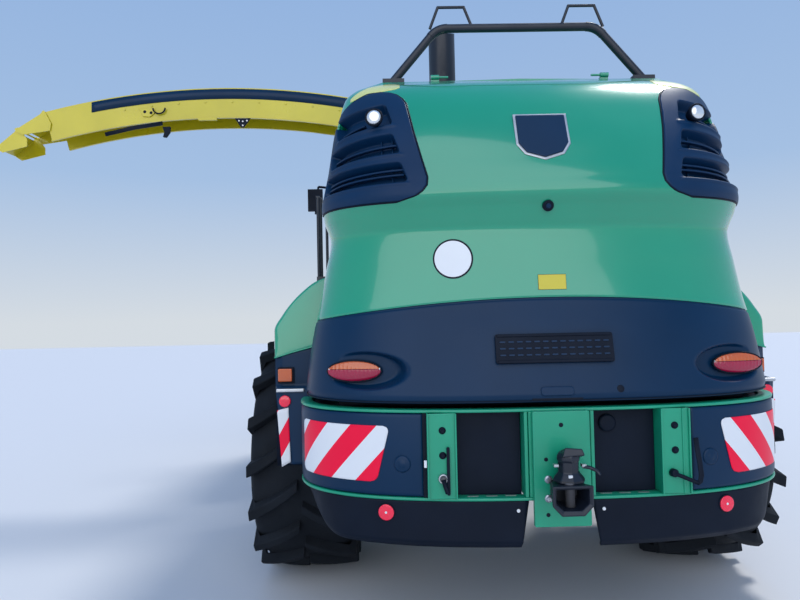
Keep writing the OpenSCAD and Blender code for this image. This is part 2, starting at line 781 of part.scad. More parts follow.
module hood_deck() {
    from_hitch() color(green) {
        along_x(deck_rear, deck_rear + deck_len)
            polygon(concat(mirrored(DECK_OUT), reversed(mirrored(DECK_IN))));
        // Outer knuckles of the doors' hinges and of the rear hood's hinges
        both_sides() {
            for (x = door_hinges) difference() {
                union() {
                    x_pin(door_axis[0], door_axis[1], 16, x - 60, x - knuckle_w / 2 - seat);
                    translate([x - 60, door_axis[0] - 26, door_axis[1] - 4]) cube([60 - knuckle_w / 2 - seat, 20, 12]);
                }
                x_pin(door_axis[0], door_axis[1], 8 + fit, x - 70, x);
            }
            for (y = hood_hinges) {
                y_pin(hood_axis[0], hood_axis[1], 26, y + knuckle_w / 2 + seat, y + 70);
                translate([hood_axis[0], y + knuckle_w / 2 + seat, deck_at(y) - 4])
                    cube([60, 70 - knuckle_w / 2 - seat, 14]);
                y_pin(hood_axis[0], hood_axis[1], 12, y - knuckle_w / 2, y + 60);
            }
        }
    }
}

module side_door() {
    outer = [for (h = side_rows) [h[2], h[0] + (h[0] < 2000 ? 10 : 0) - (h[0] > 2700 ? 6 : 0)]];
    inner = [for (h = side_rows) [h[2] - door_wall, h[0] + (h[0] < 2000 ? 10 : 0) - (h[0] > 2700 ? 6 : 0)]];
    difference() {
        along_x(deck_rear + 12, deck_rear + deck_len - 10) polygon(concat(outer, reversed(inner)));
        for (i = [0:2]) translate([deck_rear + 330 + i * 760, 900, 2240]) cube([600, 300, 330]);
    }
    // Knuckles and pins of its hinges
    for (x = door_hinges) {
        x_pin(door_axis[0], door_axis[1], 16, x - knuckle_w / 2, x + knuckle_w / 2);
        translate([x - knuckle_w / 2, door_axis[0] - 24, door_axis[1] - 30]) cube([knuckle_w, 20, 28]);
        x_pin(door_axis[0], door_axis[1], 8, x - 58, x);
    }
    for (i = [0:2], k = [0:4]) translate([deck_rear + 325 + i * 760, half_at(2282 + k * 66) - door_wall, 2262 + k * 66])
        rotate([-30, 0, 0]) cube([610, 8, 40]);
}

module side_door_left() {
    from_hitch() color(green) side_door();
}

module side_door_right() {
    from_hitch() color(green) mirror([0, 1, 0]) side_door();
}

cradle_x = 650;
cradle_d = 46;
cradle_z = 3305;
cradle_bend = 120;
cradle_foot_y = 696;
cradle_lean = 38;
hoop_d = 16;
// Feet of a hoop on the bar, from the middle
hoop_in = 248;
hoop_out = 486;

// Top of the deck at a distance from the middle
function deck_at(y) = deck_z - deck_crown * y / deck_flat;

// Bar across the deck that takes the lowered spout between its two hoops
module spout_cradle() {
    foot_z = deck_at(cradle_foot_y - 60) + seat;
    zc = cradle_z - cradle_bend;
    leg_top = zc + cradle_bend * sin(cradle_lean);
    leg_y = cradle_foot_y - (leg_top - foot_z) * tan(cradle_lean);
    yc = leg_y - cradle_bend * cos(cradle_lean);
    from_hitch() color(black) {
        both_sides() {
            translate([cradle_x - 36, cradle_foot_y - 60, foot_z]) cube([72, 120, 26]);
            bar([cradle_x, cradle_foot_y, foot_z + cradle_d / 2], [cradle_x, leg_y - 6 * tan(cradle_lean), leg_top + 6], cradle_d);
            translate([cradle_x, yc, zc]) rotate([90, 0, 90]) rotate([0, 0, cradle_lean])
                rotate_extrude(angle = 90 - cradle_lean, $fn = 128) translate([cradle_bend, 0])
                    circle(d = cradle_d + 4, $fn = 32);
            bar([cradle_x, hoop_in, cradle_z], [cradle_x, hoop_in + 47, cradle_z + 122], hoop_d);
            bar([cradle_x, hoop_in + 43, cradle_z + 120], [cradle_x, hoop_out - 43, cradle_z + 120], hoop_d);
            bar([cradle_x, hoop_out - 47, cradle_z + 122], [cradle_x, hoop_out, cradle_z], hoop_d);
        }
        y_pin(cradle_x, cradle_z, cradle_d, -yc - 8, yc + 8);
    }
}

module exhaust_pipe() {
    at = [1000, 390, deck_at(390 - exhaust_d / 2 - 30) + seat];
    from_hitch() color(black) difference() {
        union() {
            translate(at) cylinder(d = exhaust_d, h = exhaust_top_z + 60 - at[2], $fn = 64);
            translate(at) cylinder(d = exhaust_d + 60, h = 12, $fn = 64);
        }
        translate(at - [0, 0, 5]) cylinder(d = exhaust_d - 8, h = 600, $fn = 64);
        translate([at[0], at[1], exhaust_top_z]) rotate([0, -22, 0]) translate([-300, -300, 0]) cube([600, 600, 300]);
    }
}

// Plan of the cab, drawn in by an inset
function cab_plan(m) = let (x0 = cab_rear_x + m, x1 = cab_rear_x + cab_len - m, h = cab_half_w - m) [
    [x0, -h + 60], [x0 + 60, -h], [x1 - 330, -h], [x1 - 60, -h + 190], [x1, -h + 330],
    [x1, h - 330], [x1 - 60, h - 190], [x1 - 330, h], [x0 + 60, h], [x0, h - 60]];

// Platform over a front tyre: its underside, sheet, outer edge, and the handrail's height
platform_z = front_tyre_d + 65;
platform_t = 30;
platform_y = 1500;
handrail_z = 3000;
door_x0 = cab_rear_x + 150;
// Hinge of the cab door in x and y, and the heights of its knuckles
cab_hinge = [door_x0 - 6, cab_half_w + 16];
door_hinge_z = [platform_z + platform_t + 70, 3200];
door_x1 = cab_rear_x + cab_len - 400;
// The door clears the platform that it swings over
door_z0 = platform_z + platform_t + 10;
door_z1 = cab_roof_z - 70;
pane_z0 = cab_floor_z + 330;
pane_z1 = cab_roof_z - 90;

module cab_openings(m) {
    // Rear window
    translate([cab_rear_x - 50, -cab_half_w + 130 - m, pane_z0 + 150 - m])
        cube([200, 2 * cab_half_w - 260 + 2 * m, pane_z1 - pane_z0 - 150 + 2 * m]);
    // Right side window
    translate([door_x0 - m, -cab_half_w - 100, pane_z0 - m])
        cube([door_x1 - door_x0 + 2 * m, 200, pane_z1 - pane_z0 + 2 * m]);
    // Front window
    translate([cab_rear_x + cab_len - 200, -cab_half_w + 400 - m, pane_z0 - 200 - m])
        cube([300, 2 * cab_half_w - 800 + 2 * m, pane_z1 - pane_z0 + 200 + 2 * m]);
    // Corner windows beside the front pane
    both_sides() translate([door_x1 + 90 - m, cab_half_w - 300 - m, pane_z0 - 100 - m])
        cube([200 + 2 * m, 400 + 2 * m, pane_z1 - pane_z0 + 100 + 2 * m]);
}

module cab_body() {
    from_hitch() color(dark) for (z = door_hinge_z) difference() {
        union() {
            translate([cab_hinge[0], cab_hinge[1], z - 60 - seat]) cylinder(d = 20, h = 60, $fn = 48);
            translate([cab_hinge[0] - 40, cab_half_w - 6, z - 60 - seat]) cube([38, 26, 60]);
        }
        translate([cab_hinge[0], cab_hinge[1], z - 70]) cylinder(d = 10 + fit, h = 80, $fn = 48);
    }
    from_hitch() color(dark) difference() {
        translate([0, 0, cab_floor_z]) linear_extrude(cab_roof_z - cab_floor_z) polygon(cab_plan(0));
        translate([0, 0, cab_floor_z + 60]) linear_extrude(cab_roof_z) polygon(cab_plan(cab_wall));
        cab_openings(0);
        translate([door_x0, cab_half_w - 100, door_z0]) cube([door_x1 - door_x0, 200, door_z1 - door_z0]);
    }
}

module cab_glass() {
    from_hitch() color("#9fc3d0", 0.4) {
        intersection() {
            translate([0, 0, pane_z0 - 300]) linear_extrude(1400) difference() {
                polygon(cab_plan(10));
                polygon(cab_plan(10 + glass_t));
            }
            cab_openings(-seat);
        }
    }
}

module cab_door() {
    y0 = cab_half_w - 40;
    from_hitch() color(dark) {
        difference() {
            translate([door_x0 + seam, y0, door_z0 + seam])
                cube([door_x1 - door_x0 - 2 * seam, 34, door_z1 - door_z0 - 2 * seam]);
            translate([door_x0 + 60, y0 - 5, door_z0 + 60]) cube([door_x1 - door_x0 - 120, 60, door_z1 - door_z0 - 120]);
        }
        translate([door_x0 + 60 + seat, y0 + 12, door_z0 + 60 + seat])
            cube([door_x1 - door_x0 - 120 - 2 * seat, glass_t, door_z1 - door_z0 - 120 - 2 * seat]);
        translate([door_x1 - 110, y0 + 34, 2500]) cube([60, 22, 160]);
        for (z = door_hinge_z) {
            translate([cab_hinge[0], cab_hinge[1], z]) cylinder(d = 20, h = 60, $fn = 48);
            translate([cab_hinge[0], cab_half_w + 3, z]) cube([60, 20, 60]);
            translate([cab_hinge[0] + 22, y0 + 20, z]) cube([38, 30, 60]);
            translate([cab_hinge[0], cab_hinge[1], z - 50]) cylinder(d = 10, h = 60, $fn = 48);
        }
    }
}

module cab_roof() {
    x0 = cab_rear_x - 80;
    x1 = cab_rear_x + cab_len + 180;
    from_hitch() color(green) translate([0, 0, cab_roof_z + seat]) linear_extrude(180) polygon([
        [x0, -cab_half_w], [x0 + 80, -cab_half_w - 80], [x1 - 350, -cab_half_w - 80], [x1, -cab_half_w + 330],
        [x1, cab_half_w - 330], [x1 - 350, cab_half_w + 80], [x0 + 80, cab_half_w + 80], [x0, cab_half_w]]);
}

module cab_seat() {
    floor = cab_floor_z + 60 + seat;
    x = cab_rear_x + 380;
    from_hitch() color(black) {
        translate([x, -180, floor]) cube([360, 360, 240]);
        translate([x - 60, -260, floor + 240]) cube([540, 520, 130]);
        translate([x - 130, -250, floor + 370]) cube([130, 500, 620]);
        translate([x + 60, -430, floor + 240]) cube([460, 180, 330]);
        translate([x + 760, -130, floor]) cube([130, 260, 130]);
        bar([x + 850, 0, floor + 100], [x + 700, 0, floor + 640], 60);
        translate([x + 700, 0, floor + 640]) rotate([0, -25, 0]) difference() {
            cylinder(d = 380, h = 30, $fn = 64);
            translate([0, 0, -5]) difference() {
                cylinder(d = 320, h = 40, $fn = 64);
                translate([-200, -20, 0]) cube([400, 40, 40]);
            }
        }
    }
}

step_y0 = 1130;
step_y1 = 1520;
// The ladder stands behind the front tyre and the platform lies over it
ladder_x = front_axle_x - front_tyre_d / 2 - 245;
platform_x0 = ladder_x + 210;
platform_x1 = 5640;

module wheel_platform() {
    // Deck over the front wheel and the brackets that stand beside the cab
    translate([platform_x0, cab_half_w + 12, platform_z])
        cube([platform_x1 - platform_x0, platform_y - cab_half_w - 12, platform_t]);
    for (x = [4380, 5420]) {
        translate([x, cheek_in + cheek_t + seat, 1700]) cube([60, cab_half_w + 72 - cheek_in - cheek_t, 60]);
        translate([x, cab_half_w + 20, 1700]) cube([60, 52, platform_z - 1700]);
    }
}

module wheel_platforms() {
    from_hitch() color(black) {
        wheel_platform();
        mirror([0, 1, 0]) wheel_platform();
        // Ladder behind the left front wheel
        for (y = [step_y0, step_y1 - 40]) translate([0, y, 0])
            across(40, 20) polygon([[ladder_x, 420], [ladder_x + 70, 420],
                [platform_x0, platform_z + platform_t], [platform_x0 - 70, platform_z + platform_t]]);
        for (i = [0:4]) translate([ladder_x - 10 + i * 26, step_y0 + 20, 450 + i * 350])
            cube([150, step_y1 - step_y0 - 40, 30]);
        translate([platform_x0 - 70, step_y0, platform_z]) cube([100, step_y1 - step_y0, platform_t]);
        // Handrails
        for (y = [step_y0 + 20, step_y1 - 20]) {
            bar([platform_x0 - 30, y, platform_z + 10], [platform_x0 - 30, y, handrail_z], 34);
        }
        for (x = [platform_x0 + 40, cab_rear_x - 20])
            bar([x, platform_y - 20, platform_z + 20], [x, platform_y - 20, handrail_z], 34);
        y_pin(platform_x0 - 30, handrail_z, 34, step_y1 - 40, step_y1);
        x_pin(platform_y - 20, handrail_z, 34, platform_x0 + 23, cab_rear_x - 3);
    }
}

module mirrors() {
    from_hitch() color(black) both_sides() {
        translate([5740, cab_half_w + seat, 3380]) cube([60, 40, 120]);
        bar([5770, cab_half_w + 30, 3440], [5560, 1700, 3500], 32);
        bar([5560, 1700, 3500], [5540, 1740, 3120], 28);
        translate([5515, 1640, 3160]) cube([50, 200, 300]);
    }
}

// Section of the spout: an inverted channel with lips, u outward from the arch
module spout_section(w, h, t) {
    polygon([
        [-h / 2, -w / 2 - t - 18], [-h / 2 + t, -w / 2 - t - 18], [-h / 2 + t, -w / 2 - t], [h / 2, -w / 2 - t],
        [h / 2, w / 2 + t], [-h / 2 + t, w / 2 + t], [-h / 2 + t, w / 2 + t + 18], [-h / 2, w / 2 + t + 18],
        [-h / 2, w / 2], [h / 2 - t, w / 2], [h / 2 - t, -w / 2], [-h / 2, -w / 2]]);
}

// Sweeps a section round an axis along x; angles run from +y towards +z
module spout_sweep(y, z, r, a0, a1) {
    translate([turret_x, y, z]) rotate([90, 0, 90]) rotate([0, 0, a0])
        rotate_extrude(angle = a1 - a0, $fn = r > 2000 ? 1440 : 240) translate([r, 0]) children();
}

module spout_arm() {
    half = spout_w / 2 + spout_wall;
    from_hitch() color(yellow) difference() {
        union() {
            spout_sweep(arch_y, arch_z, arch_mid, tip_a, joint_a) spout_section(spout_w, spout_h, spout_wall);
            spout_sweep(elbow_y, elbow_z, elbow_r, joint_a, elbow_end_a) spout_section(spout_w, spout_h, spout_wall);
            // Bolted collar where the elbow meets the arch
            spout_sweep(arch_y, arch_z, arch_mid, joint_a - 0.12, joint_a + 0.12)
                spout_section(spout_w + spout_wall, spout_h + 14, spout_wall / 2 + 14);
            // Lug that the rod pushes
            translate([turret_x - half + 4, rod_pin[0] - 60, rod_pin[1] + 70]) cube([2 * half - 8, 120, 60]);
            for (s = [-1, 1]) translate([turret_x + s * 48 - 10, rod_pin[0] - 30, rod_pin[1] - 30]) cube([20, 60, 110]);
            x_pin(rod_pin[0], rod_pin[1], rod_pin_d, turret_x - 50, turret_x + 50);
            // Bosses of the end flap's pin
            for (s = [-1, 1]) x_pin(flap1_y, flap1_z, 40, turret_x + s * (half - 15) - 15, turret_x + s * (half - 15) + 15);
        }
        x_pin(flap1_y, flap1_z, 20 + fit, turret_x - 400, turret_x + 400);
        x_pin(lift_pivot[0], lift_pivot[1], 50 + fit, turret_x - 400, turret_x + 400);
    }
}

module spout_turret() {
    inner = spout_w / 2 - run;
    from_hitch() color(yellow) {
        difference() {
            union() {
                translate([turret_x, 0, turret_low]) cylinder(d = turret_d, h = 70, $fn = 96);
                translate([turret_x - inner, -200, turret_low + 60]) cube([2 * inner, 340, 150]);
                // Ears that carry the arm, inside its channel
                along_x(turret_x - inner, turret_x + inner) polygon([[-128, 3200], [-128, 3340], [-140, 3372],
                    [-134, 3400], [-110, 3419], [-85, 3418], [-62, 3400], [-45, 3340], [0, 3260], [60, 3200]]);
            }
            translate([turret_x - inner + 10, -190, turret_low + 80]) cube([2 * inner - 20, 320, 500]);
            translate([turret_x, 0, turret_low - 10]) cylinder(d = 290, h = 200, $fn = 64);
        }
        x_pin(lift_pivot[0], lift_pivot[1], 50, turret_x - inner - 30, turret_x - inner + 5);
        x_pin(lift_pivot[0], lift_pivot[1], 50, turret_x + inner - 5, turret_x + inner + 30);
        // Bracket of the lift cylinder
        translate([turret_x - 60, 130, turret_low + 20]) cube([120, 290, 50]);
        difference() {
            for (s = [-1, 1]) translate([turret_x + s * 48 - 10, barrel_pin[0] - 50, turret_low + 30])
                cube([20, 100, barrel_pin[1] + 45 - turret_low - 30]);
            x_pin(barrel_pin[0], barrel_pin[1], 40 + fit, turret_x - 100, turret_x + 100);
        }
    }
}

// Builds along the line from one pin to the other, in the plane across x
module spout_ram_frame() {
    v = rod_pin - barrel_pin;
    translate([turret_x, barrel_pin[0], barrel_pin[1]]) rotate([atan2(v[1], v[0]), 0, 0]) children();
}

ram_len = norm(rod_pin - barrel_pin);

module spout_barrel() {
    from_hitch() color(black) spout_ram_frame() {
        rotate([0, 90, 0]) cylinder(d = 40, h = 118, center = true, $fn = 48);
        difference() {
            union() {
                rotate([0, 90, 0]) cylinder(d = 80, h = 72, center = true, $fn = 48);
                translate([0, 30, 0]) rotate([-90, 0, 0]) cylinder(d = 74, h = ram_len - 190, $fn = 48);
            }
            translate([0, 90, 0]) rotate([-90, 0, 0]) cylinder(d = 36 + fit, h = ram_len, $fn = 48);
        }
    }
}

module spout_rod() {
    from_hitch() color(steel) spout_ram_frame() {
        translate([0, 340, 0]) rotate([-90, 0, 0]) cylinder(d = 36, h = ram_len - 340 - rod_pin_d / 2 - 24, $fn = 48);
        difference() {
            translate([0, ram_len, 0]) rotate([0, 90, 0]) cylinder(d = rod_pin_d + 66, h = 60, center = true, $fn = 48);
            translate([0, ram_len, 0]) rotate([0, 90, 0]) cylinder(d = rod_pin_d + 38, h = 80, center = true, $fn = 48);
        }
    }
}

flap_t = 8;
flap_gap = 6;
flap_a = 32;
flap_w = spout_w + 2 * spout_wall + 2 * flap_gap + 2 * flap_t;
flap1_y = tip_y + 14;
flap1_z = tip_z - 4;
flap2_y = flap1_y + flap_len * cos(flap_a);
flap2_z = flap1_z - flap_len * sin(flap_a);

// End flap: a channel that hangs on a pin at its upper edge and points down
module flap(y, z, len, angle, w, pin_w, eye) {
    translate([turret_x, y, z]) rotate([-angle, 0, 0]) difference() {
        union() {
            translate([-w / 2, 32, -flap_t - 4]) cube([w, len - 32 - (eye > 0 ? 40 : 0), flap_t]);
            for (s = [-1, 1]) translate([s * (w - flap_t) / 2 - flap_t / 2, 0, 0]) rotate([90, 0, 90])
                linear_extrude(flap_t) polygon([[-18, 12], [40, -4], [len - 30, -4], [len + (eye > 0 ? 18 : 0), 12],
                    [len + (eye > 0 ? 18 : 0), -24], [len - 20, -90], [40, -210], [-10, -150], [-20, -20]]);
            x_pin(0, 0, 20, -pin_w / 2, pin_w / 2);
        }
        if (eye > 0) x_pin(len, 0, eye, -w, w);
    }
}

module spout_flap_inner() {
    from_hitch() color(yellow) flap(flap1_y, flap1_z, flap_len, flap_a, flap_w, flap_w, 20 + fit);
}

module spout_flap_outer() {
    w = flap_w - 2 * flap_t - 2 * flap_gap;
    from_hitch() color(yellow) flap(flap2_y, flap2_z, flap_end_len, flap_a + 8, w, flap_w, 0);
}

feeder_half = feeder_w / 2 + run + feeder_wall;
roll_upper = [6260, 1250];
roll_lower = [6300, 925];

module feeder_house() {
    side_in = feeder_w / 2 + run;
    from_hitch() color(green) {
        both_sides() difference() {
            across(feeder_wall, side_in + feeder_wall / 2) polygon([
                [drum_x - 130, drum_z - 110], [drum_x + 60, drum_z - 150], [feeder_rear + 60, feeder_low],
                [feeder_front, feeder_low], [feeder_front, feeder_top], [feeder_rear, feeder_top],
                [drum_x + 20, drum_z + 150], [drum_x - 130, drum_z + 110]]);
            y_pin(drum_x, drum_z, 200 + fit, side_in - 10, side_in + 40);
            for (r = [roll_upper, roll_lower]) y_pin(r[0], r[1], 60 + fit, side_in - 10, side_in + 40);
        }
        translate([feeder_rear, -side_in, feeder_top - 12]) cube([feeder_front - feeder_rear, 2 * side_in, 12]);
        translate([feeder_rear + 60, -side_in, feeder_low]) cube([feeder_front - feeder_rear - 240, 2 * side_in, 12]);
        both_sides() {
            // Bracket of the lift cylinder's rod
            translate([lift_high[0] - 60, side_in + feeder_wall, lift_high[1] - 50]) cube([120, 28, 130]);
            y_pin(lift_high[0], lift_high[1], lift_pin_d, side_in, lift_y + 40);
            // Upright of the header's frame, with its lock bore
            difference() {
                translate([feeder_front, adapter_half - 90, adapter_low]) cube([80, 90, adapter_top - adapter_low]);
                y_pin(feeder_front + 40, adapter_low + 90, lock_bore_d, adapter_half - 100, adapter_half + 10);
            }
        }
        for (z = [adapter_low, adapter_top - 90]) translate([feeder_front, -adapter_half + 90, z])
            cube([80, 2 * adapter_half - 180, 90]);
        both_sides() translate([feeder_front, side_in, adapter_low + 90])
            cube([80, 40, adapter_top - adapter_low - 180]);
        both_sides() translate([feeder_front + 40, 480, adapter_top]) rotate([90, 0, 0]) linear_extrude(60)
            polygon([[-40, -10], [40, -10], [40, 70], [10, 70], [10, 20], [-40, 20]]);
    }
}

module feed_roll(x, z, core, slats, slat_h) {
    half = feeder_w / 2 - 12;
    y_pin(x, z, core, -half, half);
    y_pin(x, z, 60, -feeder_half, feeder_half);
    for (i = [0:slats - 1]) translate([x, 0, z]) rotate([0, i * 360 / slats, 0])
        translate([-8, -half, core / 2 - 10]) cube([16, 2 * half, slat_h + 10]);
}

module feed_roll_upper() {
    from_hitch() color(steel) feed_roll(roll_upper[0], roll_upper[1], roll_upper_d, 10, 32);
}

module feed_roll_lower() {
    from_hitch() color(steel) feed_roll(roll_lower[0], roll_lower[1], roll_lower_d, 8, 20);
}

module lift_frame() {
    v = lift_high - lift_low;
    translate([lift_low[0], lift_y, lift_low[1]]) rotate([0, -atan2(v[1], v[0]), 0]) children();
}

lift_len = norm(lift_high - lift_low);

module lift_barrels() {
    from_hitch() color(black) both_sides() lift_frame() {
        difference() {
            union() {
                rotate([90, 0, 0]) cylinder(d = 90, h = 60, center = true, $fn = 48);
                translate([30, 0, 0]) rotate([0, 90, 0]) cylinder(d = 80, h = lift_len * 0.62, $fn = 48);
            }
            translate([110, 0, 0]) rotate([0, 90, 0]) cylinder(d = 50 + fit, h = lift_len, $fn = 48);
        }
        translate([0, -30, 0]) rotate([-90, 0, 0]) cylinder(d = 50, h = cheek_in + cheek_t - lift_y + 30, $fn = 48);
    }
}

module lift_rods() {
    from_hitch() color(steel) both_sides() lift_frame() {
        translate([430, 0, 0]) rotate([0, 90, 0])
            cylinder(d = 50, h = lift_len - 430 - lift_pin_d / 2 - 26, $fn = 48);
        difference() {
            translate([lift_len, 0, 0]) rotate([90, 0, 0]) cylinder(d = lift_pin_d + 80, h = 56, center = true, $fn = 48);
            translate([lift_len, 0, 0]) rotate([90, 0, 0]) cylinder(d = lift_pin_d + 40, h = 80, center = true, $fn = 48);
        }
    }
}

chassis_frame();
engine_block();
front_axle();
rear_axle_beam();
knuckle_left();
knuckle_right();
tie_rod();
front_rim_left();
front_tyre_left();
front_rim_right();
front_tyre_right();
rear_rim_left();
rear_tyre_left();
rear_rim_right();
rear_tyre_right();
crop_chute();
bumper_frame();
bumper_covers();
hitch_plate();
tow_hitch();
hood_upper();
hood_lower();
hood_grilles();
tail_lamps();
fender_panels();
side_lamps();
plate_holder();
fenders();
hood_deck();
side_door_left();
side_door_right();
spout_cradle();
exhaust_pipe();
cab_body();
cab_roof();
cab_glass();
cab_door();
cab_seat();
wheel_platforms();
mirrors();
spout_turret();
spout_arm();
spout_barrel();
spout_rod();
spout_flap_inner();
spout_flap_outer();
feeder_house();
feed_roll_upper();
feed_roll_lower();
lift_barrels();
lift_rods();
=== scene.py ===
"""Looks of a self-propelled forage harvester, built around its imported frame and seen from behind.

Lengths are in metres. Shapes are worked out from one datum, as the part's source does: x runs forward
from the rear face of the bumper, y to the left, z up from the ground. at_hitch() then moves them so that
the origin is the middle of the tow hitch's pin.
"""

import math

import bpy
import numpy as np
from bpy.props import FloatProperty, FloatVectorProperty, IntProperty, PointerProperty
from mathutils import Matrix


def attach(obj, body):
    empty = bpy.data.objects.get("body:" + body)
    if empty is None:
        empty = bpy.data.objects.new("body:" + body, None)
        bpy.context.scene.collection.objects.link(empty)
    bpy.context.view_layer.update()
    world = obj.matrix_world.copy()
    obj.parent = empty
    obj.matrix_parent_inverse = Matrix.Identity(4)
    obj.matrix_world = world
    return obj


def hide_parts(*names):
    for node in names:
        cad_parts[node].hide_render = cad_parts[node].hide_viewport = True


bl_info = {
    "name": "Forage Harvester Looks",
    "version": (1, 0, 0),
    "blender": (4, 5, 0),
    "location": "View3D > Sidebar > Harvester",
    "description": "Hood, bumper, tyres, spout, cab and stage of a forage harvester",
    "category": "Object",
}

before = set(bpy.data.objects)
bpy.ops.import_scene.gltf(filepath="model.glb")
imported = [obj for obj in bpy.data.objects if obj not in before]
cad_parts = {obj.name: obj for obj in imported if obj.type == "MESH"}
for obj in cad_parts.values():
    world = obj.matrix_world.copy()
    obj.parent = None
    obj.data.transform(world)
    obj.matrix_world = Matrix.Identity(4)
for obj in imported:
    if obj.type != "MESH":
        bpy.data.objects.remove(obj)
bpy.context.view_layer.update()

HITCH = np.array([0.140, 0.0, -0.930])
GROUND_Z = -0.930
SIDES = ((1, "left"), (-1, "right"))
BACK, RIGHT, UP = (-1, 0, 0), (0, -1, 0), (0, 0, 1)

# Camera fitted to the photograph: place, then yaw, pitch and roll in degrees, then pixels
CAMERA_AT = (-2.680, 0.733, 1.701)
CAMERA_TURN = (-0.83, 1.57, -1.21)
FOCAL_PX, IMAGE_PX = 603.7, 800

# Rear hood: height, rear face in the middle, half width where it meets the body
HOOD_LEVELS = np.array([(1.310, 0.000, 1.192), (1.450, 0.035, 1.176), (1.615, 0.070, 1.148), (1.777, 0.118, 1.112),
                        (1.950, 0.135, 1.078), (2.100, 0.140, 1.050), (2.150, 0.118, 1.062), (2.200, 0.092, 1.080),
                        (2.270, 0.056, 1.088), (2.340, 0.075, 1.076), (2.450, 0.118, 1.053), (2.548, 0.159, 1.038),
                        (2.660, 0.215, 1.022), (2.773, 0.283, 0.992), (2.870, 0.370, 0.962), (2.918, 0.440, 0.917),
                        (2.950, 0.515, 0.857), (2.985, 0.590, 0.760)])
# Windows of a grille: lower edge, upper edge, inner edge, how fast each edge drops towards the side
GRILLE_WINDOWS = ((2.326, 2.438, 0.655, 0.10, 0.14), (2.480, 2.596, 0.690, 0.26, 0.38),
                  (2.644, 2.774, 0.722, 0.46, 0.46))
# Slats behind the windows: height, inner edge, how fast it drops
GRILLE_SLATS = ((2.372, 0.665, 0.16), (2.398, 0.665, 0.18), (2.532, 0.695, 0.34), (2.690, 0.855, 0.70))
# Middle of a tail lamp on its recess and how far it turns outwards, in degrees
LAMP_AT = (0.196, 0.915, 1.447)
LAMP_TURN = 9
# Edge of a grille at its inner side: height and distance from the middle
GRILLE_EDGE = np.array([(2.238, 0.700), (2.250, 0.655), (2.262, 0.606), (2.282, 0.576), (2.309, 0.556),
                        (2.347, 0.552), (2.451, 0.577), (2.600, 0.609), (2.768, 0.638), (2.800, 0.655),
                        (2.832, 0.684), (2.852, 0.722), (2.862, 0.765)])
# Pale stripe above a grille: distance from the middle, lower edge, upper edge
TRIM_EDGES = np.array([(0.664, 2.893, 2.925), (0.690, 2.880, 2.950), (0.730, 2.873, 2.955), (0.766, 2.868, 2.951),
                       (0.810, 2.861, 2.938), (0.845, 2.852, 2.918), (0.887, 2.842, 2.888), (0.925, 2.833, 2.852)])


def colour(name, text, default):
    """Colour property, in linear light."""
    return FloatVectorProperty(name=name, description=text, subtype="COLOR", size=3, min=0, max=1, default=default)


def length(name, text, default):
    """Length property in metres."""
    return FloatProperty(name=name, description=text, unit="LENGTH", default=default)


class HarvesterColours(bpy.types.PropertyGroup):
    """Colours of the finishes."""

    green: colour("Green", "Paint of the hood and sheet metal", (0.004, 0.290, 0.160))
    # Blue-black: part of the blue is the panels' own tone and part is painted reflection of the blue sky
    dark: colour("Dark panel", "Blue-black moulded panels", (0.001, 0.022, 0.062))
    black: colour("Black", "Black frame paint and plastic", (0.003, 0.007, 0.017))
    yellow: colour("Yellow", "Paint of the spout and rims", (0.58, 0.48, 0.010))
    red: colour("Red", "Warning stripes and reflectors", (0.90, 0.003, 0.045))
    white: colour("White", "Warning stripes and the blank speed disc", (0.74, 0.76, 0.79))
    orange: colour("Orange", "Side lights and the upper part of the tail lamps", (0.56, 0.10, 0.014))
    rubber: colour("Rubber", "Tyres", (0.008, 0.011, 0.016))
    lamp: colour("Lamp red", "Lower part of the tail lamps", (0.34, 0.004, 0.040))
    steel: colour("Steel", "Bare and plated steel", (0.50, 0.51, 0.53))
    stripe: colour("Trim stripe", "Pale yellow-green trim above the grilles", (0.62, 0.66, 0.22))


class HoodSizes(bpy.types.PropertyGroup):
    """Sizes of the rear hood."""

    front_x: length("Front edge", "Front edge of the rear hood", 0.600)
    power: FloatProperty(name="Roundness", description="Power of the hood's outline", default=2.7)
    split_z: length("Joint height", "Joint of green cover and dark panel in the middle", 1.777)
    split_drop: length("Joint drop", "How much lower the joint is at the sides", 0.077)
    wall: length("Wall", "Wall of the moulded hood", 0.012)


class BumperSizes(bpy.types.PropertyGroup):
    """Sizes of the rear bumper."""

    half_w: length("Half width", "Half width of the bumper", 1.220)
    front_x: length("Front edge", "Front edge of the bumper", 0.600)
    top_z: length("Top", "Upper face of the upper flange", 1.280)
    low_z: length("Underside", "Lower face of the lower flange", 0.875)
    flange: length("Flange", "Thickness of a flange", 0.014)
    skirt_z: length("Skirt", "Lowest edge of the skirt", 0.664)


class TyreSizes(bpy.types.PropertyGroup):
    """Sizes of the tyres' treads."""

    lug_h: length("Lug height", "Height of the lugs above the carcass", 0.055)
    front_lugs: IntProperty(name="Front lugs", description="Lugs on one side of a front tyre", default=20)
    rear_lugs: IntProperty(name="Rear lugs", description="Lugs on one side of a rear tyre", default=17)


class SpoutSizes(bpy.types.PropertyGroup):
    """Sizes of the spout."""

    x: length("Turret", "Turret ahead of the bumper", 3.950)
    half_w: length("Half width", "Half of the spout's inner width", 0.165)
    height: length("Height", "Height of the spout's section", 0.330)
    top_z: length("Top", "Highest point of the spout", 4.200)
    peak_r: length("Peak", "Reach from the turret to the highest point", 2.530)
    arch_r: length("Arch", "Radius of the long arch", 7.670)


# Mesh helpers


def settings(group):
    """Property group of the scene."""
    return getattr(bpy.context.scene, "harvester_" + group)


def at_hitch(points):
    """Datum points moved into the hitch's frame: p + HITCH."""
    return np.asarray(points, float) + HITCH


def unit(v):
    """Vector over its length."""
    v = np.asarray(v, float)
    return v / np.maximum(np.linalg.norm(v, axis=-1, keepdims=True), 1e-12)


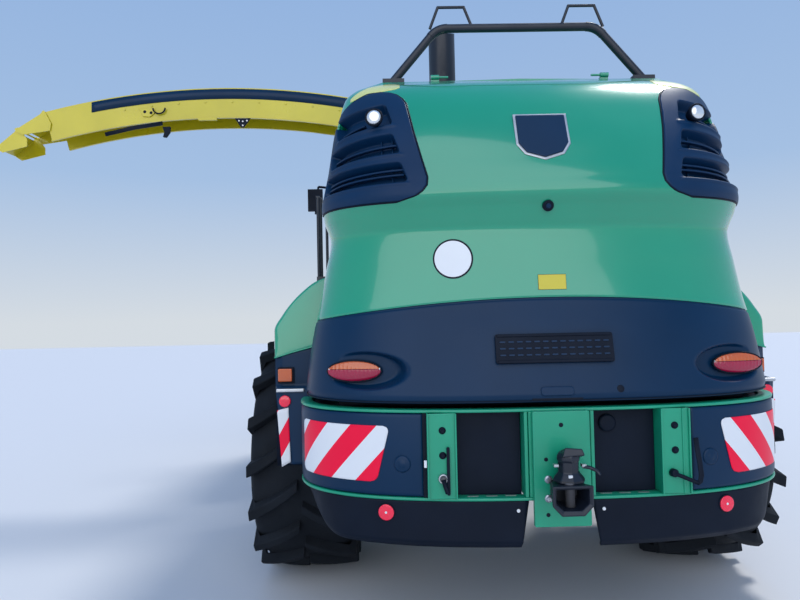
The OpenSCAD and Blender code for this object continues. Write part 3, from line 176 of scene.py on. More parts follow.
def mesh_piece(name, points, faces, look, body="machine", smooth=True, slot=None, uv=None):
    """New object at the origin from datum points and faces, with its finish, riding on a body."""
    mesh = bpy.data.meshes.new(name)
    mesh.from_pydata(at_hitch(points).tolist(), [], [list(map(int, f)) for f in faces])
    mesh.update()
    mesh.polygons.foreach_set("use_smooth", np.full(len(mesh.polygons), smooth))
    if uv is not None:
        layer = mesh.uv_layers.new(name="Surface")
        corner = np.empty(len(mesh.loops), dtype=np.int32)
        mesh.loops.foreach_get("vertex_index", corner)
        layer.data.foreach_set("uv", np.asarray(uv, np.float32)[corner].ravel())
    mesh.materials.append(finishes()[look])
    piece = bpy.data.objects.new(name, mesh)
    bpy.context.scene.collection.objects.link(piece)
    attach(piece, body)
    slot = SLOTS[look] if slot is None else slot
    return piece


def grid_faces(m, n, closed_u=False, closed_v=False, keep=None):
    """Quads of an m by n grid of points; a closed way joins its last row to its first."""
    i, j = np.meshgrid(np.arange(m if closed_u else m - 1), np.arange(n if closed_v else n - 1), indexing="ij")
    k, l = (i + 1) % m, (j + 1) % n
    quads = np.stack([i * n + j, k * n + j, k * n + l, i * n + l], axis=-1).reshape(-1, 4)
    return quads if keep is None else quads[keep.ravel()]


def sheet_piece(name, grid, look, body="machine", thick=0.0, keep=None, flip=False, slot=None, uv=None,
                closed_v=False, bevel=0.0):
    """Grid of points (m, n, 3) as a smooth sheet, with a wall behind it where thick is given."""
    m, n = grid.shape[:2]
    faces = grid_faces(m, n, False, closed_v, keep)
    if flip:
        faces = faces[:, ::-1]
    piece = mesh_piece(name, grid.reshape(-1, 3), faces, look, body, slot=slot,
                       uv=None if uv is None else uv.reshape(-1, 2))
    if thick:
        wall = piece.modifiers.new("Wall", "SOLIDIFY")
        wall.thickness = thick
        wall.offset = -1
    if bevel:
        round_edges(piece, bevel)
    return piece


def round_edges(piece, width, segments=2, angle=35):
    """Bevels the sharp edges of a piece."""
    edge = piece.modifiers.new("Edges", "BEVEL")
    edge.width = width
    edge.segments = segments
    edge.limit_method = "ANGLE"
    edge.angle_limit = math.radians(angle)
    return piece


def block(name, lo, hi, look, body="machine", bevel=0.004):
    """Box between two opposite corners with rounded edges."""
    lo, hi = np.minimum(lo, hi), np.maximum(lo, hi)
    corners = np.array([(x, y, z) for x in (0, 1) for y in (0, 1) for z in (0, 1)]) * (hi - lo) + lo
    faces = [(0, 1, 3, 2), (4, 6, 7, 5), (0, 4, 5, 1), (2, 3, 7, 6), (0, 2, 6, 4), (1, 5, 7, 3)]
    piece = mesh_piece(name, corners, faces, look, body, smooth=False)
    return round_edges(piece, min(bevel, 0.3 * float(np.min(hi - lo)))) if bevel else piece


def plate(name, outline, centre, across, up, depth, look, body="machine", bevel=0.003, slot=None):
    """Flat outline (k, 2) in the plane of across and up at centre, extruded by depth along their normal."""
    across, up = unit(across), unit(up)
    normal = np.cross(across, up)
    flat = np.asarray(outline, float)
    if np.sum(flat[:, 0] * np.roll(flat[:, 1], -1) - np.roll(flat[:, 0], -1) * flat[:, 1]) < 0:
        flat = flat[::-1]
    base = np.asarray(centre, float) + flat[:, :1] * across + flat[:, 1:] * up
    k = len(flat)
    points = np.concatenate([base, base + depth * normal])
    ring = np.arange(k)
    sides = np.stack([ring, (ring + 1) % k, (ring + 1) % k + k, ring + k], axis=-1).tolist()
    piece = mesh_piece(name, points, sides + [ring[::-1].tolist(), (ring + k).tolist()], look, body, smooth=False,
                       slot=slot)
    return round_edges(piece, bevel) if bevel else piece


def rounded_outline(width, height, radius, steps=6):
    """Outline of a rectangle with round corners, anticlockwise round its middle."""
    t = np.linspace(0, math.pi / 2, steps)
    parts = []
    for q, (sx, sy) in enumerate(((1, 1), (-1, 1), (-1, -1), (1, -1))):
        a = t + q * math.pi / 2
        parts.append(np.stack([sx * (width / 2 - radius) + radius * np.cos(a), sy * (height / 2 - radius) + radius
                               * np.sin(a)], axis=-1))
    return np.concatenate(parts)


def sweep(name, path, profile, look, body="machine", up=UP, closed_path=False):
    """Profile (k, 2) carried along a path (m, 3): point = path + u * side + v * top, with end caps."""
    path = np.asarray(path, float)
    if closed_path:
        tangent = unit(np.roll(path, -1, axis=0) - np.roll(path, 1, axis=0))
    else:
        tangent = unit(np.gradient(path, axis=0))
    side = unit(np.cross(tangent, np.broadcast_to(np.asarray(up, float), tangent.shape)))
    top = np.cross(side, tangent)
    profile = np.asarray(profile, float)
    grid = path[:, None] + profile[None, :, :1] * side[:, None] + profile[None, :, 1:] * top[:, None]
    m, n = grid.shape[:2]
    faces = grid_faces(m, n, closed_path, True)[:, ::-1].tolist()
    if not closed_path:
        faces.append(list(range(n)))
        faces.append(list(range((m - 1) * n, m * n))[::-1])
    return mesh_piece(name, grid.reshape(-1, 3), faces, look, body)


def on_side(points, side):
    """Points of the left side, mirrored where the side is the right one."""
    return points * np.array([1, side, 1])


def circle(radius, count=16):
    """Round profile."""
    a = np.linspace(0, 2 * math.pi, count, endpoint=False)
    return np.stack([radius * np.cos(a), radius * np.sin(a)], axis=-1)


def tube(name, path, radius, look, body="machine", up=UP, count=16):
    """Round bar along a path."""
    return sweep(name, path, circle(radius, count), look, body, up=up)


def revolved(name, profile, centre, axis, look, body="machine", count=48, slot=None, smooth=True, bevel=0.0,
             ring=False):
    """Profile (k, 2) of radius and height turned round an axis: centre + r (cos t e1 + sin t e2) + h axis.

    A ring's profile runs back to its own start, and any other is closed by flat ends or poles.
    """
    axis = unit(axis)
    e1 = unit(np.cross(axis, (0.0, 0.0, 1.0) if abs(axis[2]) < 0.9 else (1.0, 0.0, 0.0)))
    e2 = np.cross(axis, e1)
    t = np.linspace(0, 2 * math.pi, count, endpoint=False)
    spokes = np.cos(t)[:, None] * e1 + np.sin(t)[:, None] * e2
    profile = np.asarray(profile, float)
    grid = np.asarray(centre, float) + profile[None, :, :1] * spokes[:, None] + profile[None, :, 1:] * axis
    m, n = grid.shape[:2]
    faces = grid_faces(m, n, True, ring).tolist()
    if profile[0, 0] > 1e-9 and not ring:
        faces.append((np.arange(m) * n)[::-1].tolist())
    if profile[-1, 0] > 1e-9 and not ring:
        faces.append((np.arange(m) * n + n - 1).tolist())
    piece = mesh_piece(name, grid.reshape(-1, 3), faces, look, body, smooth=smooth, slot=slot)
    weld = piece.modifiers.new("Poles", "WELD")
    weld.merge_threshold = 1e-5
    return round_edges(piece, bevel) if bevel else piece


def disc(name, centre, normal, radius, depth, look, body="machine", edge=0.003, slot=None, count=40):
    """Round plate standing on a point, with a rounded rim."""
    t = np.linspace(0, math.pi / 2, 4)
    rim = np.stack([radius - edge + edge * np.cos(t), depth - edge + edge * np.sin(t)], axis=-1)
    return revolved(name, np.vstack([(0, 0), (radius, 0), rim, (0, depth)]), centre, normal, look, body, count=count,
                    slot=slot)


def bolt_head(name, centre, normal, size, look, body="machine"):
    """Six-sided bolt head on a washer."""
    revolved(name + "_washer", [(0, 0), (0.95 * size, 0), (0.95 * size, 0.12 * size), (0, 0.12 * size)], centre,
             normal, look, body, count=24, slot="")
    return revolved(name, [(0, 0.1 * size), (0.62 * size, 0.1 * size), (0.62 * size, 0.5 * size),
                           (0.52 * size, 0.58 * size), (0, 0.58 * size)], centre, normal, look, body, count=6,
                    smooth=False, slot="")


def smooth_through(x, table, column=1):
    """Column of a table against its first one: a cubic curve with slopes limited to avoid overshoot."""
    knots, values = table[:, 0], table[:, column]
    h = np.diff(knots)
    d = np.diff(values) / h
    slope = np.zeros_like(values)
    w1, w2 = 2 * h[1:] + h[:-1], h[1:] + 2 * h[:-1]
    same = d[:-1] * d[1:] > 0
    slope[1:-1][same] = ((w1 + w2)[same]) / (w1[same] / d[:-1][same] + w2[same] / d[1:][same])
    slope[0], slope[-1] = d[0], d[-1]
    x = np.clip(x, knots[0], knots[-1])
    i = np.clip(np.searchsorted(knots, x, side="right") - 1, 0, len(h) - 1)
    t = (x - knots[i]) / h[i]
    return ((2 * t**3 - 3 * t**2 + 1) * values[i] + (t**3 - 2 * t**2 + t) * h[i] * slope[i] + (3 * t**2 - 2 * t**3)
            * values[i + 1] + (t**3 - t**2) * h[i] * slope[i + 1])


def ramp(x, width):
    """Smooth step from 0 at x = 0 to 1 at x = width."""
    t = np.clip(x / width, 0, 1)
    return t * t * (3 - 2 * t)


# Materials


def shader_node(tree, kind, values=None, links=None):
    """New shader node with values at its inputs and links (node, output) into them."""
    made = tree.nodes.new("ShaderNode" + kind)
    for key, value in (values or {}).items():
        made.inputs[key].default_value = value
    for key, (source, output) in (links or {}).items():
        tree.links.new(source.outputs[output], made.inputs[key])
    return made


def noise_group(name, detail, inputs, kind, values, taken, result, output):
    """Node group: noise on Object coordinates, taken into one more node beside the group's own inputs."""
    group = bpy.data.node_groups.get(name)
    if group:
        return group
    group = bpy.data.node_groups.new(name, "ShaderNodeTree")
    for key, value in inputs.items():
        group.interface.new_socket(name=key, in_out="INPUT", socket_type="NodeSocketFloat").default_value = value
    group.interface.new_socket(name=output[0], in_out="OUTPUT", socket_type=output[1])
    given, out = group.nodes.new("NodeGroupInput"), group.nodes.new("NodeGroupOutput")
    place = shader_node(group, "TexCoord")
    noise = shader_node(group, "TexNoise", {"Detail": detail},
                        {"Vector": (place, "Object"), "Scale": (given, "Scale")})
    links = {key: (noise if key == result[0] else given, source) for key, source in taken.items()}
    last = shader_node(group, kind, values, links)
    group.links.new(last.outputs[result[1]], out.inputs[output[0]])
    return group


def patches_group():
    """Node group: patchy mask between a low and a high value."""
    return noise_group("Patches", 5, {"Scale": 4.0, "Low": 0.3, "High": 0.5}, "MapRange",
                       {"From Min": 0.3, "From Max": 0.7}, {"Value": "Fac", "To Min": "Low", "To Max": "High"},
                       ("Value", "Result"), ("Value", "NodeSocketFloat"))


def grain_group():
    """Node group: fine bump of moulded plastic, cast iron or rubber."""
    return noise_group("Grain", 3, {"Scale": 300.0, "Height": 0.1}, "Bump", {"Distance": 0.002},
                       {"Height": "Fac", "Strength": "Height"}, ("Height", "Normal"), ("Normal", "NodeSocketVector"))


def new_material(name, **values):
    """New material and its shader, with values at the shader's inputs."""
    material = bpy.data.materials.new(name)
    material.use_nodes = True
    shader = material.node_tree.nodes["Principled BSDF"]
    for key, value in values.items():
        shader.inputs[key.replace("_", " ")].default_value = value
    return material, material.node_tree, shader


def mixed_base(tree, shader, factor, low, high):
    """Base colour between two colours by a node's output."""
    mix = tree.nodes.new("ShaderNodeMix")
    mix.data_type = "RGBA"
    mix.inputs["A"].default_value = (*low, 1)
    mix.inputs["B"].default_value = (*high, 1)
    tree.links.new(factor, mix.inputs["Factor"])
    tree.links.new(mix.outputs["Result"], shader.inputs["Base Color"])


def grouped(tree, group, **values):
    """Node of a group with values at its inputs."""
    made = tree.nodes.new("ShaderNodeGroup")
    made.node_tree = group
    for key, value in values.items():
        made.inputs[key].default_value = value
    return made.outputs[0]


def finish(name, base, rough=(0.3, 0.45), metallic=0.0, coat=0.0, patches=3.0, grain=None, tint=0.12, gloss=0.5):
    """Painted, plated or moulded finish: patchy colour and roughness, and a grain where one is given."""
    if name in bpy.data.materials:
        return bpy.data.materials[name]
    material, tree, shader = new_material(name, Metallic=metallic, Coat_Weight=coat, Coat_Roughness=0.06,
                                          Specular_IOR_Level=gloss)
    tree.links.new(grouped(tree, patches_group(), Scale=patches, Low=rough[0], High=rough[1]),
                   shader.inputs["Roughness"])
    base = np.array(base)
    mixed_base(tree, shader, grouped(tree, patches_group(), Scale=patches * 0.6, Low=0.0, High=1.0),
               base * (1 - tint), np.clip(base * (1 + tint), 0, 1))
    if grain:
        tree.links.new(grouped(tree, grain_group(), Scale=grain[0], Height=grain[1]), shader.inputs["Normal"])
    return material


def striped(name, red, white, period, lean):
    """Slanted red and white bands on the piece's own map: band = fract((u + lean v) / period) > 1/2."""
    if name in bpy.data.materials:
        return bpy.data.materials[name]
    material, tree, shader = new_material(name, Roughness=0.35, Specular_IOR_Level=0.25)
    chart = shader_node(tree, "UVMap")
    chart.uv_map = "Surface"
    parts = shader_node(tree, "SeparateXYZ", None, {"Vector": (chart, "UV")})
    last = shader_node(tree, "Math", {1: lean}, {0: (parts, "Y"), 2: (parts, "X")})
    last.operation = "MULTIPLY_ADD"
    for operation, value in (("DIVIDE", {1: period}), ("FRACT", None), ("GREATER_THAN", {1: 0.5})):
        last = shader_node(tree, "Math", value, {0: (last, 0)})
        last.operation = operation
    mixed_base(tree, shader, last.outputs[0], red, white)
    return material


def window_glass():
    """Clear tinted pane."""
    name = "Window glass"
    if name in bpy.data.materials:
        return bpy.data.materials[name]
    return new_material(name, Base_Color=(0.35, 0.46, 0.50, 1), Roughness=0.05, Transmission_Weight=0.85,
                        Alpha=0.45)[0]


# Slot of each finish where a piece doesn't name its own
SLOTS = {
    "green": "green_paint", "green_frame": "green_paint", "trim": "green_paint", "dark": "black_plastic",
    "grille": "black_plastic", "plastic": "black_plastic", "lens": "black_plastic", "black": "black_paint",
    "yellow": "yellow_paint", "rubber": "tyre_rubber", "steel": "bare_steel", "iron": "bare_steel",
    "white": "bare_steel", "red": "lamp_red", "lamp": "lamp_red", "orange": "lamp_red", "stripes": "lamp_red",
}


def finishes():
    """Dictionary of the part's finishes, made once from the colour properties."""
    c = settings("colours")
    return {
        "green": finish("Green paint", c.green, (0.16, 0.26), coat=0.8, patches=1.6, tint=0.06),
        "green_frame": finish("Green frame paint", c.green, (0.30, 0.45), coat=0.2, patches=5, tint=0.12),
        # Dark panel and grille plastic: low gloss, and the blue in their colour is partly painted sky reflection in
        # place of a real one
        "dark": finish("Dark moulded panel", c.dark, (0.30, 0.42), patches=2.5, grain=(420, 0.05), gloss=0.22),
        "grille": finish("Grille plastic", (c.dark[0], c.dark[1] * 1.1, c.dark[2] * 1.2), (0.38, 0.5),
                         patches=3, grain=(500, 0.06), gloss=0.22),
        "black": finish("Black frame paint", c.black, (0.38, 0.55), coat=0.1, patches=6),
        "plastic": finish("Black plastic", c.black, (0.45, 0.6), patches=8, grain=(600, 0.12), gloss=0.15),
        "yellow": finish("Yellow paint", c.yellow, (0.25, 0.4), coat=0.4, patches=3, tint=0.08),
        "rubber": finish("Tyre rubber", c.rubber, (0.7, 0.9), patches=7, grain=(180, 0.35), tint=0.25, gloss=0.2),
        "steel": finish("Bare steel", c.steel, (0.28, 0.42), metallic=0.9, patches=12),
        "iron": finish("Cast iron", (0.10, 0.10, 0.11), (0.5, 0.7), metallic=0.3, patches=9, grain=(90, 0.3)),
        "red": finish("Red lens", c.red, (0.12, 0.2), coat=0.8, patches=5, tint=0.05),
        "lamp": finish("Lamp glass", c.lamp, (0.12, 0.2), coat=0.5, patches=5, tint=0.05),
        "orange": finish("Orange lens", c.orange, (0.12, 0.2), coat=0.8, patches=5, tint=0.05),
        "white": finish("White plastic", c.white, (0.3, 0.4), patches=5, tint=0.03),
        "lens": finish("Clear lens", (0.72, 0.74, 0.76), (0.05, 0.12), metallic=0.6, coat=1.0, patches=9, tint=0.2),
        "trim": finish("Pale trim", c.stripe, (0.3, 0.4), coat=0.5, patches=4, tint=0.05),
        "fabric": finish("Cushion fabric", (0.03, 0.032, 0.036), (0.8, 0.95), patches=30, grain=(900, 0.4)),
        "glass": window_glass(),
        "stripes": striped("Warning stripes", c.white, c.red, 0.262, 0.95),
    }


# Surfaces of the hood and the bumper


def hood_at(angle, z, inset=0.0):
    """Hood skin: x = f - (f - rear - i) cos(a)^(2/p), y = (half - i) sign(a) |sin a|^(2/p), at height z."""
    hood = settings("hood")
    rear = smooth_through(z, HOOD_LEVELS) + inset
    half = smooth_through(z, HOOD_LEVELS, 2) - inset
    e = 2 / hood.power
    x = hood.front_x - (hood.front_x - rear) * np.abs(np.cos(angle)) ** e
    y = half * np.sign(angle) * np.abs(np.sin(angle)) ** e
    return np.stack(np.broadcast_arrays(x, y, z), axis=-1)


def hood_angle_at_y(y, z):
    """Angle where the hood has a given y at height z: asin((|y| / half)^(p/2))."""
    hood = settings("hood")
    half = smooth_through(z, HOOD_LEVELS, 2)
    return np.sign(y) * np.arcsin(np.clip(np.abs(y) / half, 0, 1) ** (hood.power / 2))


def hood_angle_at_x(x, z):
    """Angle on the left where the hood has a given x at height z: acos(((f - x) / (f - rear))^(p/2))."""
    hood = settings("hood")
    rear = smooth_through(z, HOOD_LEVELS)
    return np.arccos(np.clip((hood.front_x - x) / (hood.front_x - rear), 0, 1) ** (hood.power / 2))


def hood_split(angle):
    """Height of the joint between green cover and dark panel: s - drop (y / 1.045)^2."""
    hood = settings("hood")
    y = hood_at(angle, np.full_like(angle, 1.74))[..., 1]
    return hood.split_z - hood.split_drop * (y / 1.045) ** 2


def outward(grid):
    """Normals of a grid of surface points, turned away from the hood's middle."""
    du, dv = np.gradient(grid, axis=0), np.gradient(grid, axis=1)
    n = unit(np.cross(du, dv))
    middle = np.array([0.9, 0.0, 2.0])
    away = np.sum(n * (grid - middle), axis=-1, keepdims=True)
    return np.where(np.mean(away) < 0, -n, n)


def even_angles(count):
    """Angles from right to left, closer together near the sides where the outline turns fastest."""
    t = np.linspace(-1, 1, count)
    return (math.pi / 2) * np.sign(t) * (1 - (1 - np.abs(t)) ** 1.25)


def bumper_at(angle, z, inset=0.0):
    """Bumper outline, as the hood's, from its own half width and front edge."""
    size = settings("bumper")
    e = 2 / settings("hood").power
    x = size.front_x - (size.front_x - inset) * np.abs(np.cos(angle)) ** e
    y = (size.half_w - inset) * np.sign(angle) * np.abs(np.sin(angle)) ** e
    return np.stack(np.broadcast_arrays(x, y, z), axis=-1)


def bumper_angle_at_y(y, inset=0.0):
    """Angle where the bumper's outline has a given y."""
    size = settings("bumper")
    power = settings("hood").power
    return np.sign(y) * np.arcsin(np.clip(np.abs(y) / (size.half_w - inset), 0, 1) ** (power / 2))


def grille_top(y):
    """Upper edge of a grille at a distance from the middle."""
    return 2.862 - 1.9 * np.maximum(np.abs(y) - 0.800, 0) ** 2


def inside_grille(y, z, margin):
    """True where a point of the hood lies inside the grille's outline drawn in by a margin."""
    inner = np.interp(z, GRILLE_EDGE[:, 0], GRILLE_EDGE[:, 1]) + margin
    return (np.abs(y) > inner) & (z > GRILLE_EDGE[0, 0] + margin) & (z < grille_top(y) - margin)


def on_hood(y, z, lift=0.0):
    """Point of the hood's skin at a given y and height, moved outwards by a lift."""
    y, z = np.broadcast_arrays(np.asarray(y, float), np.asarray(z, float))
    return hood_at(hood_angle_at_y(y, z), z, inset=-lift)


# Rear hood


def hood_cover():
    """Green cover: grid of angle and height above the joint, left out behind the grilles."""
    angle = even_angles(221)
    split = hood_split(angle)
    t = np.linspace(0, 1, 170)[:, None]
    z = split + 0.004 + t * (HOOD_LEVELS[-1, 0] - split - 0.004)
    grid = hood_at(angle[None, :], z)
    middle = 0.25 * (grid[:-1, :-1] + grid[1:, :-1] + grid[1:, 1:] + grid[:-1, 1:])
    hidden = inside_grille(middle[..., 1], middle[..., 2], 0.022) & (middle[..., 0] < 0.490)
    cover = sheet_piece("hood_cover", grid, "green", "rear_hood", thick=0.012, keep=~hidden)
    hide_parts("hood_upper")
    rim = hood_at(angle, split + 0.004)
    lip = hood_at(angle, split + 0.004, inset=0.03)
    sheet_piece("hood_cover_lip", np.stack([rim, lip]), "green", "rear_hood", thick=0.003)


def hood_underside():
    """Inner lip that closes the hood's lower edge: the outline at three insets."""
    angle = even_angles(161)
    level = np.full(161, HOOD_LEVELS[0, 0] + 0.002)
    rows = np.stack([hood_at(angle, level + up, inset) for inset, up in ((0.004, 0), (0.030, 0), (0.110, 0.012))])
    sheet_piece("hood_underside", rows, "plastic", "rear_hood", thick=0.004, flip=True)


def inside_oval(y, z, centre, half_w, half_h, edge):
    """1 inside an oval, falling to 0 over the given share of its size outside it."""
    return 1 - ramp(np.hypot((y - centre[0]) / half_w, (z - centre[1]) / half_h) - 1, edge)


def hood_panel():
    """Dark lower panel: hood skin below the joint, sunk in ovals round the lamps."""
    angle = even_angles(241)
    top = hood_split(angle)
    t = np.linspace(0, 1, 110)[:, None]
    z = HOOD_LEVELS[0, 0] + t * (top - HOOD_LEVELS[0, 0])
    grid = hood_at(angle[None, :], z)
    n = outward(grid)
    across = np.abs(grid[..., 1])
    sunk = 0.006 * np.exp(-((grid[..., 2] - (top - 0.004)) / 0.006) ** 2)
    under = 0.012 * ramp(1.345 - grid[..., 2], 0.035)
    grid = grid - n * (sunk + under)[..., None]
    floor_x = LAMP_AT[0] + 0.012 + math.tan(math.radians(LAMP_TURN)) * (across - LAMP_AT[1])
    oval = inside_oval(across, grid[..., 2], (0.868, 1.452), 0.166, 0.072, 0.26)
    grid[..., 0] += oval * np.maximum(floor_x - grid[..., 0], 0)
    panel = sheet_piece("hood_panel", grid, "dark", "rear_hood", thick=0.012, slot="dark_panel")
    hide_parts("hood_lower")


def grille_patch(side):
    """Grid over one grille: rows run up, columns run from its inner edge round to its front edge."""
    t = np.linspace(0, 1, 240)[:, None]
    s = np.linspace(0, 1, 230)[None, :]
    low = GRILLE_EDGE[0, 0]
    rough_y = np.interp(t, (0, 0.16, 1), (0.66, 0.56, 0.72)) + s * 0.30
    z = low + t * (grille_top(rough_y) - low)
    inner_y = np.interp(z, GRILLE_EDGE[:, 0], GRILLE_EDGE[:, 1])
    a0 = hood_angle_at_y(inner_y, z)
    a1 = hood_angle_at_x(np.full(z.shape, 0.498), z)
    return on_side(hood_at(a0 + s * (a1 - a0), z), side)


def grille(side, label):
    """Moulded grille: hood skin swelled by its rim and pushed in at the windows.

    The depth is a smooth step of the distance to the window's edge, whose corners are round.
    """
    grid = grille_patch(side)
    n = outward(grid)
    steps = np.linalg.norm(np.diff(grid, axis=1), axis=-1)
    run = np.hstack([np.zeros((len(grid), 1)), np.cumsum(steps, axis=1)])
    y, z = np.abs(grid[..., 1]), grid[..., 2]
    rise = np.minimum(run, run[:, -1:] - run)
    rise = np.minimum(rise, np.minimum(z - z[:1], z[-1:] - z) * 1.2)
    height = -0.004 + 0.010 * ramp(rise, 0.007)
    for low, high, inner, drop_low, drop_high in GRILLE_WINDOWS:
        away = np.maximum(y - 0.68, 0) ** 2
        row = np.argmin(np.abs(z[:, 20] - 0.5 * (low + high)))
        start = np.interp(inner, y[row], run[row])
        end = run[row, -1] - 0.030
        lean = 0.10 * (z - 0.5 * (low + high))
        across = np.minimum(run - start - lean, end - run)
        over, under = high - drop_high * away - z, (z - low + drop_low * away) * 0.8
        corner = 0.022
        gap = corner - np.hypot(np.maximum(corner - across, 0), np.maximum(corner - np.minimum(over, under), 0))
        gap = np.where((across > 0) & (over > 0) & (under > 0), gap, 0)
        height = height - 0.058 * ramp(gap, 0.015)
        lip = np.exp(-((z - low + drop_low * away + 0.007) / 0.008) ** 2) * ramp(across + 0.02, 0.03)
        height = height + 0.005 * lip
    surface = grid + n * height[..., None]
    piece = sheet_piece("grille_" + label, surface, "grille", "rear_hood", thick=0.005, flip=side < 0)
    if side > 0:
        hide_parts("hood_grilles")
    for k, (level, inner, drop) in enumerate(GRILLE_SLATS):
        angle = np.linspace(hood_angle_at_y(inner + 0.01, level), hood_angle_at_x(0.440, level), 40)
        away = np.maximum(np.abs(hood_at(angle, np.full(40, level))[:, 1]) - 0.68, 0)
        path = on_side(hood_at(angle, level - drop * away**2, inset=0.030), side)
        sweep("grille_%s_slat_%d" % (label, k), path, rounded_outline(0.030, 0.010, 0.004, 4), "grille", "rear_hood")
    for k, (y_bar, low, high) in enumerate(((0.800, 2.474, 2.590), (0.745, 2.478, 2.594), (0.745, 2.324, 2.438))):
        level = np.linspace(low, high, 6)
        path = on_side(on_hood(y_bar, level, -0.046), side)
        tube("grille_%s_strut_%d" % (label, k), path, 0.005, "grille", "rear_hood", up=(0, 1, 0), count=8)
    up, along = (np.round(np.linspace(0, count - 1, 90)).astype(int) for count in grid.shape[:2])
    loop = np.concatenate([grid[0, along[::-1]], grid[up[1:-1], 0], grid[-1, along]])
    tube("grille_seal_" + label, loop + (0.002, 0, 0), 0.0055, "plastic", "rear_hood", up=(1, 0, 0), count=8)


def trim_stripe(side, label):
    """Pale stripe that follows the cover above a grille."""
    y = np.linspace(TRIM_EDGES[0, 0], TRIM_EDGES[-1, 0], 40)
    low = smooth_through(y, TRIM_EDGES)
    high = smooth_through(y, TRIM_EDGES, 2)
    rows = np.stack([on_hood(y, low + share * (high - low), 0.003) for share in np.linspace(0, 1, 9)])
    sheet_piece("trim_stripe_" + label, on_side(rows, side), "trim", "rear_hood", thick=0.004, flip=side < 0)


def tail_lamp(side, label):
    """Oval tail lamp: ribbed dome, orange above and red below, in a dark rim."""
    turn = math.radians(LAMP_TURN)
    normal, up = np.array([-math.cos(turn), math.sin(turn) * side, 0]), np.array(UP)
    centre = on_side(LAMP_AT, side) - 0.030 * normal
    across = np.array([math.sin(turn), math.cos(turn) * side, 0])
    half_w, half_h, joint = 0.127, 0.047, 0.20
    rho = np.linspace(0, 1, 18)[:, None]
    for part, look in (("upper", "orange"), ("lower", "lamp")):
        upper = part == "upper"
        level = joint + (0.02 if upper else -0.02)
        edge = math.asin(level)
        first, last = (edge, math.pi - edge) if upper else (math.pi - edge, 2 * math.pi + edge)
        theta = np.linspace(first, last, 49)
        reach = np.linspace(-1, 1, 49) * math.cos(edge)
        base = np.stack([-reach if upper else reach, np.full(49, level)], -1)
        rim_line = np.stack([np.cos(theta), np.sin(theta)], -1)
        disc_uv = base[None] + rho[..., None] * (rim_line[None] - base[None])
        u, v = disc_uv[..., 0] * half_w, disc_uv[..., 1] * half_h
        away = np.hypot(disc_uv[..., 0], disc_uv[..., 1])
        dome = 0.034 + 0.018 * np.sqrt(np.clip(1 - away**2 * 0.94, 0, 1))
        dome = dome + 0.0012 * np.sin(u * 320)
        grid = centre + u[..., None] * across + v[..., None] * up + dome[..., None] * normal
        lens = sheet_piece("tail_lamp_%s_%s" % (part, label), grid, look, "rear_hood", thick=0.004, flip=side > 0)
        if side > 0 and not upper:
            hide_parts("tail_lamps")
    for k, end in enumerate((-1, 1)):
        spot = centre + 0.034 * normal + (half_w - 0.006) * end * across + half_h * joint * up
        disc("tail_lamp_screw_%s_%d" % (label, k), spot, normal, 0.0055, 0.005, "steel", "rear_hood", edge=0.001,
             count=14)
    t = np.linspace(0, 2 * math.pi, 72, endpoint=False)
    rim = (half_w + 0.003) * np.cos(t)[:, None] * across + (half_h + 0.003) * np.sin(t)[:, None] * up
    sweep("tail_lamp_rim_" + label, centre + 0.034 * normal + rim, circle(0.005, 10), "plastic", "rear_hood",
          up=normal, closed_path=True)
    plate("tail_lamp_case_" + label, np.stack([(half_w + 0.004) * np.cos(t), (half_h + 0.004) * np.sin(t)], -1),
          centre + 0.034 * normal, across, UP, 0.070 * side, "dark", "rear_hood", bevel=0, slot="dark_panel")


def hood_fittings():
    """Blank plaque, camera lens, blank disc and blank sticker on the hood's middle."""
    plaque = np.array([[-0.118, 0.118], [0.118, 0.118], [0.118, -0.045], [0.085, -0.098], [0.0, -0.128],
                       [-0.085, -0.098], [-0.118, -0.045]])
    slope = unit((0.42, 0, 1))
    for name, scale, lift, depth, look in (("plaque_rim", 1.10, 0.000, 0.008, "steel"),
                                           ("plaque", 1.0, 0.006, 0.008, "dark")):
        base = hood_at(0.0, 2.545) + np.array([-1.0, 0, 0.42]) * (lift - 0.002)
        plate(name, plaque * scale, base, RIGHT, slope, depth, look, "rear_hood", bevel=0.004, slot="dark_panel")
    disc("camera_lens", hood_at(0.0, 2.203) + (0.004, 0, 0), (-1, 0, -0.45), 0.026, 0.018, "plastic", "rear_hood")
    disc("camera_glass", hood_at(0.0, 2.203) + (-0.012, 0, -0.006), (-1, 0, -0.45), 0.012, 0.006, "dark", "rear_hood")
    rho, theta = np.linspace(0, 1, 12)[:, None], np.linspace(0, 2 * math.pi, 64, endpoint=False)[None, :]
    for name, radius, lift, look in (("speed_disc_ring", 0.094, 0.0015, "plastic"),
                                     ("speed_disc", 0.086, 0.0030, "white")):
        grid = on_hood(0.438 + radius * rho * np.cos(theta), 1.967 + radius * rho * np.sin(theta), lift)
        sheet_piece(name, grid, look, "rear_hood", flip=True, slot="black_plastic", closed_v=True)
    across, up = np.linspace(-1, 1, 12)[None, :], np.linspace(-1, 1, 8)[:, None]
    for name, half_w, half_h, lift, look in (("blank_sticker_rim", 0.0660, 0.0360, 0.0012, "plastic"),
                                             ("blank_sticker", 0.0645, 0.0345, 0.0022, "yellow")):
        grid = on_hood(-0.020 + half_w * across, 1.848 + half_h * up, lift)
        sheet_piece(name, grid, look, "rear_hood", slot="yellow_paint")


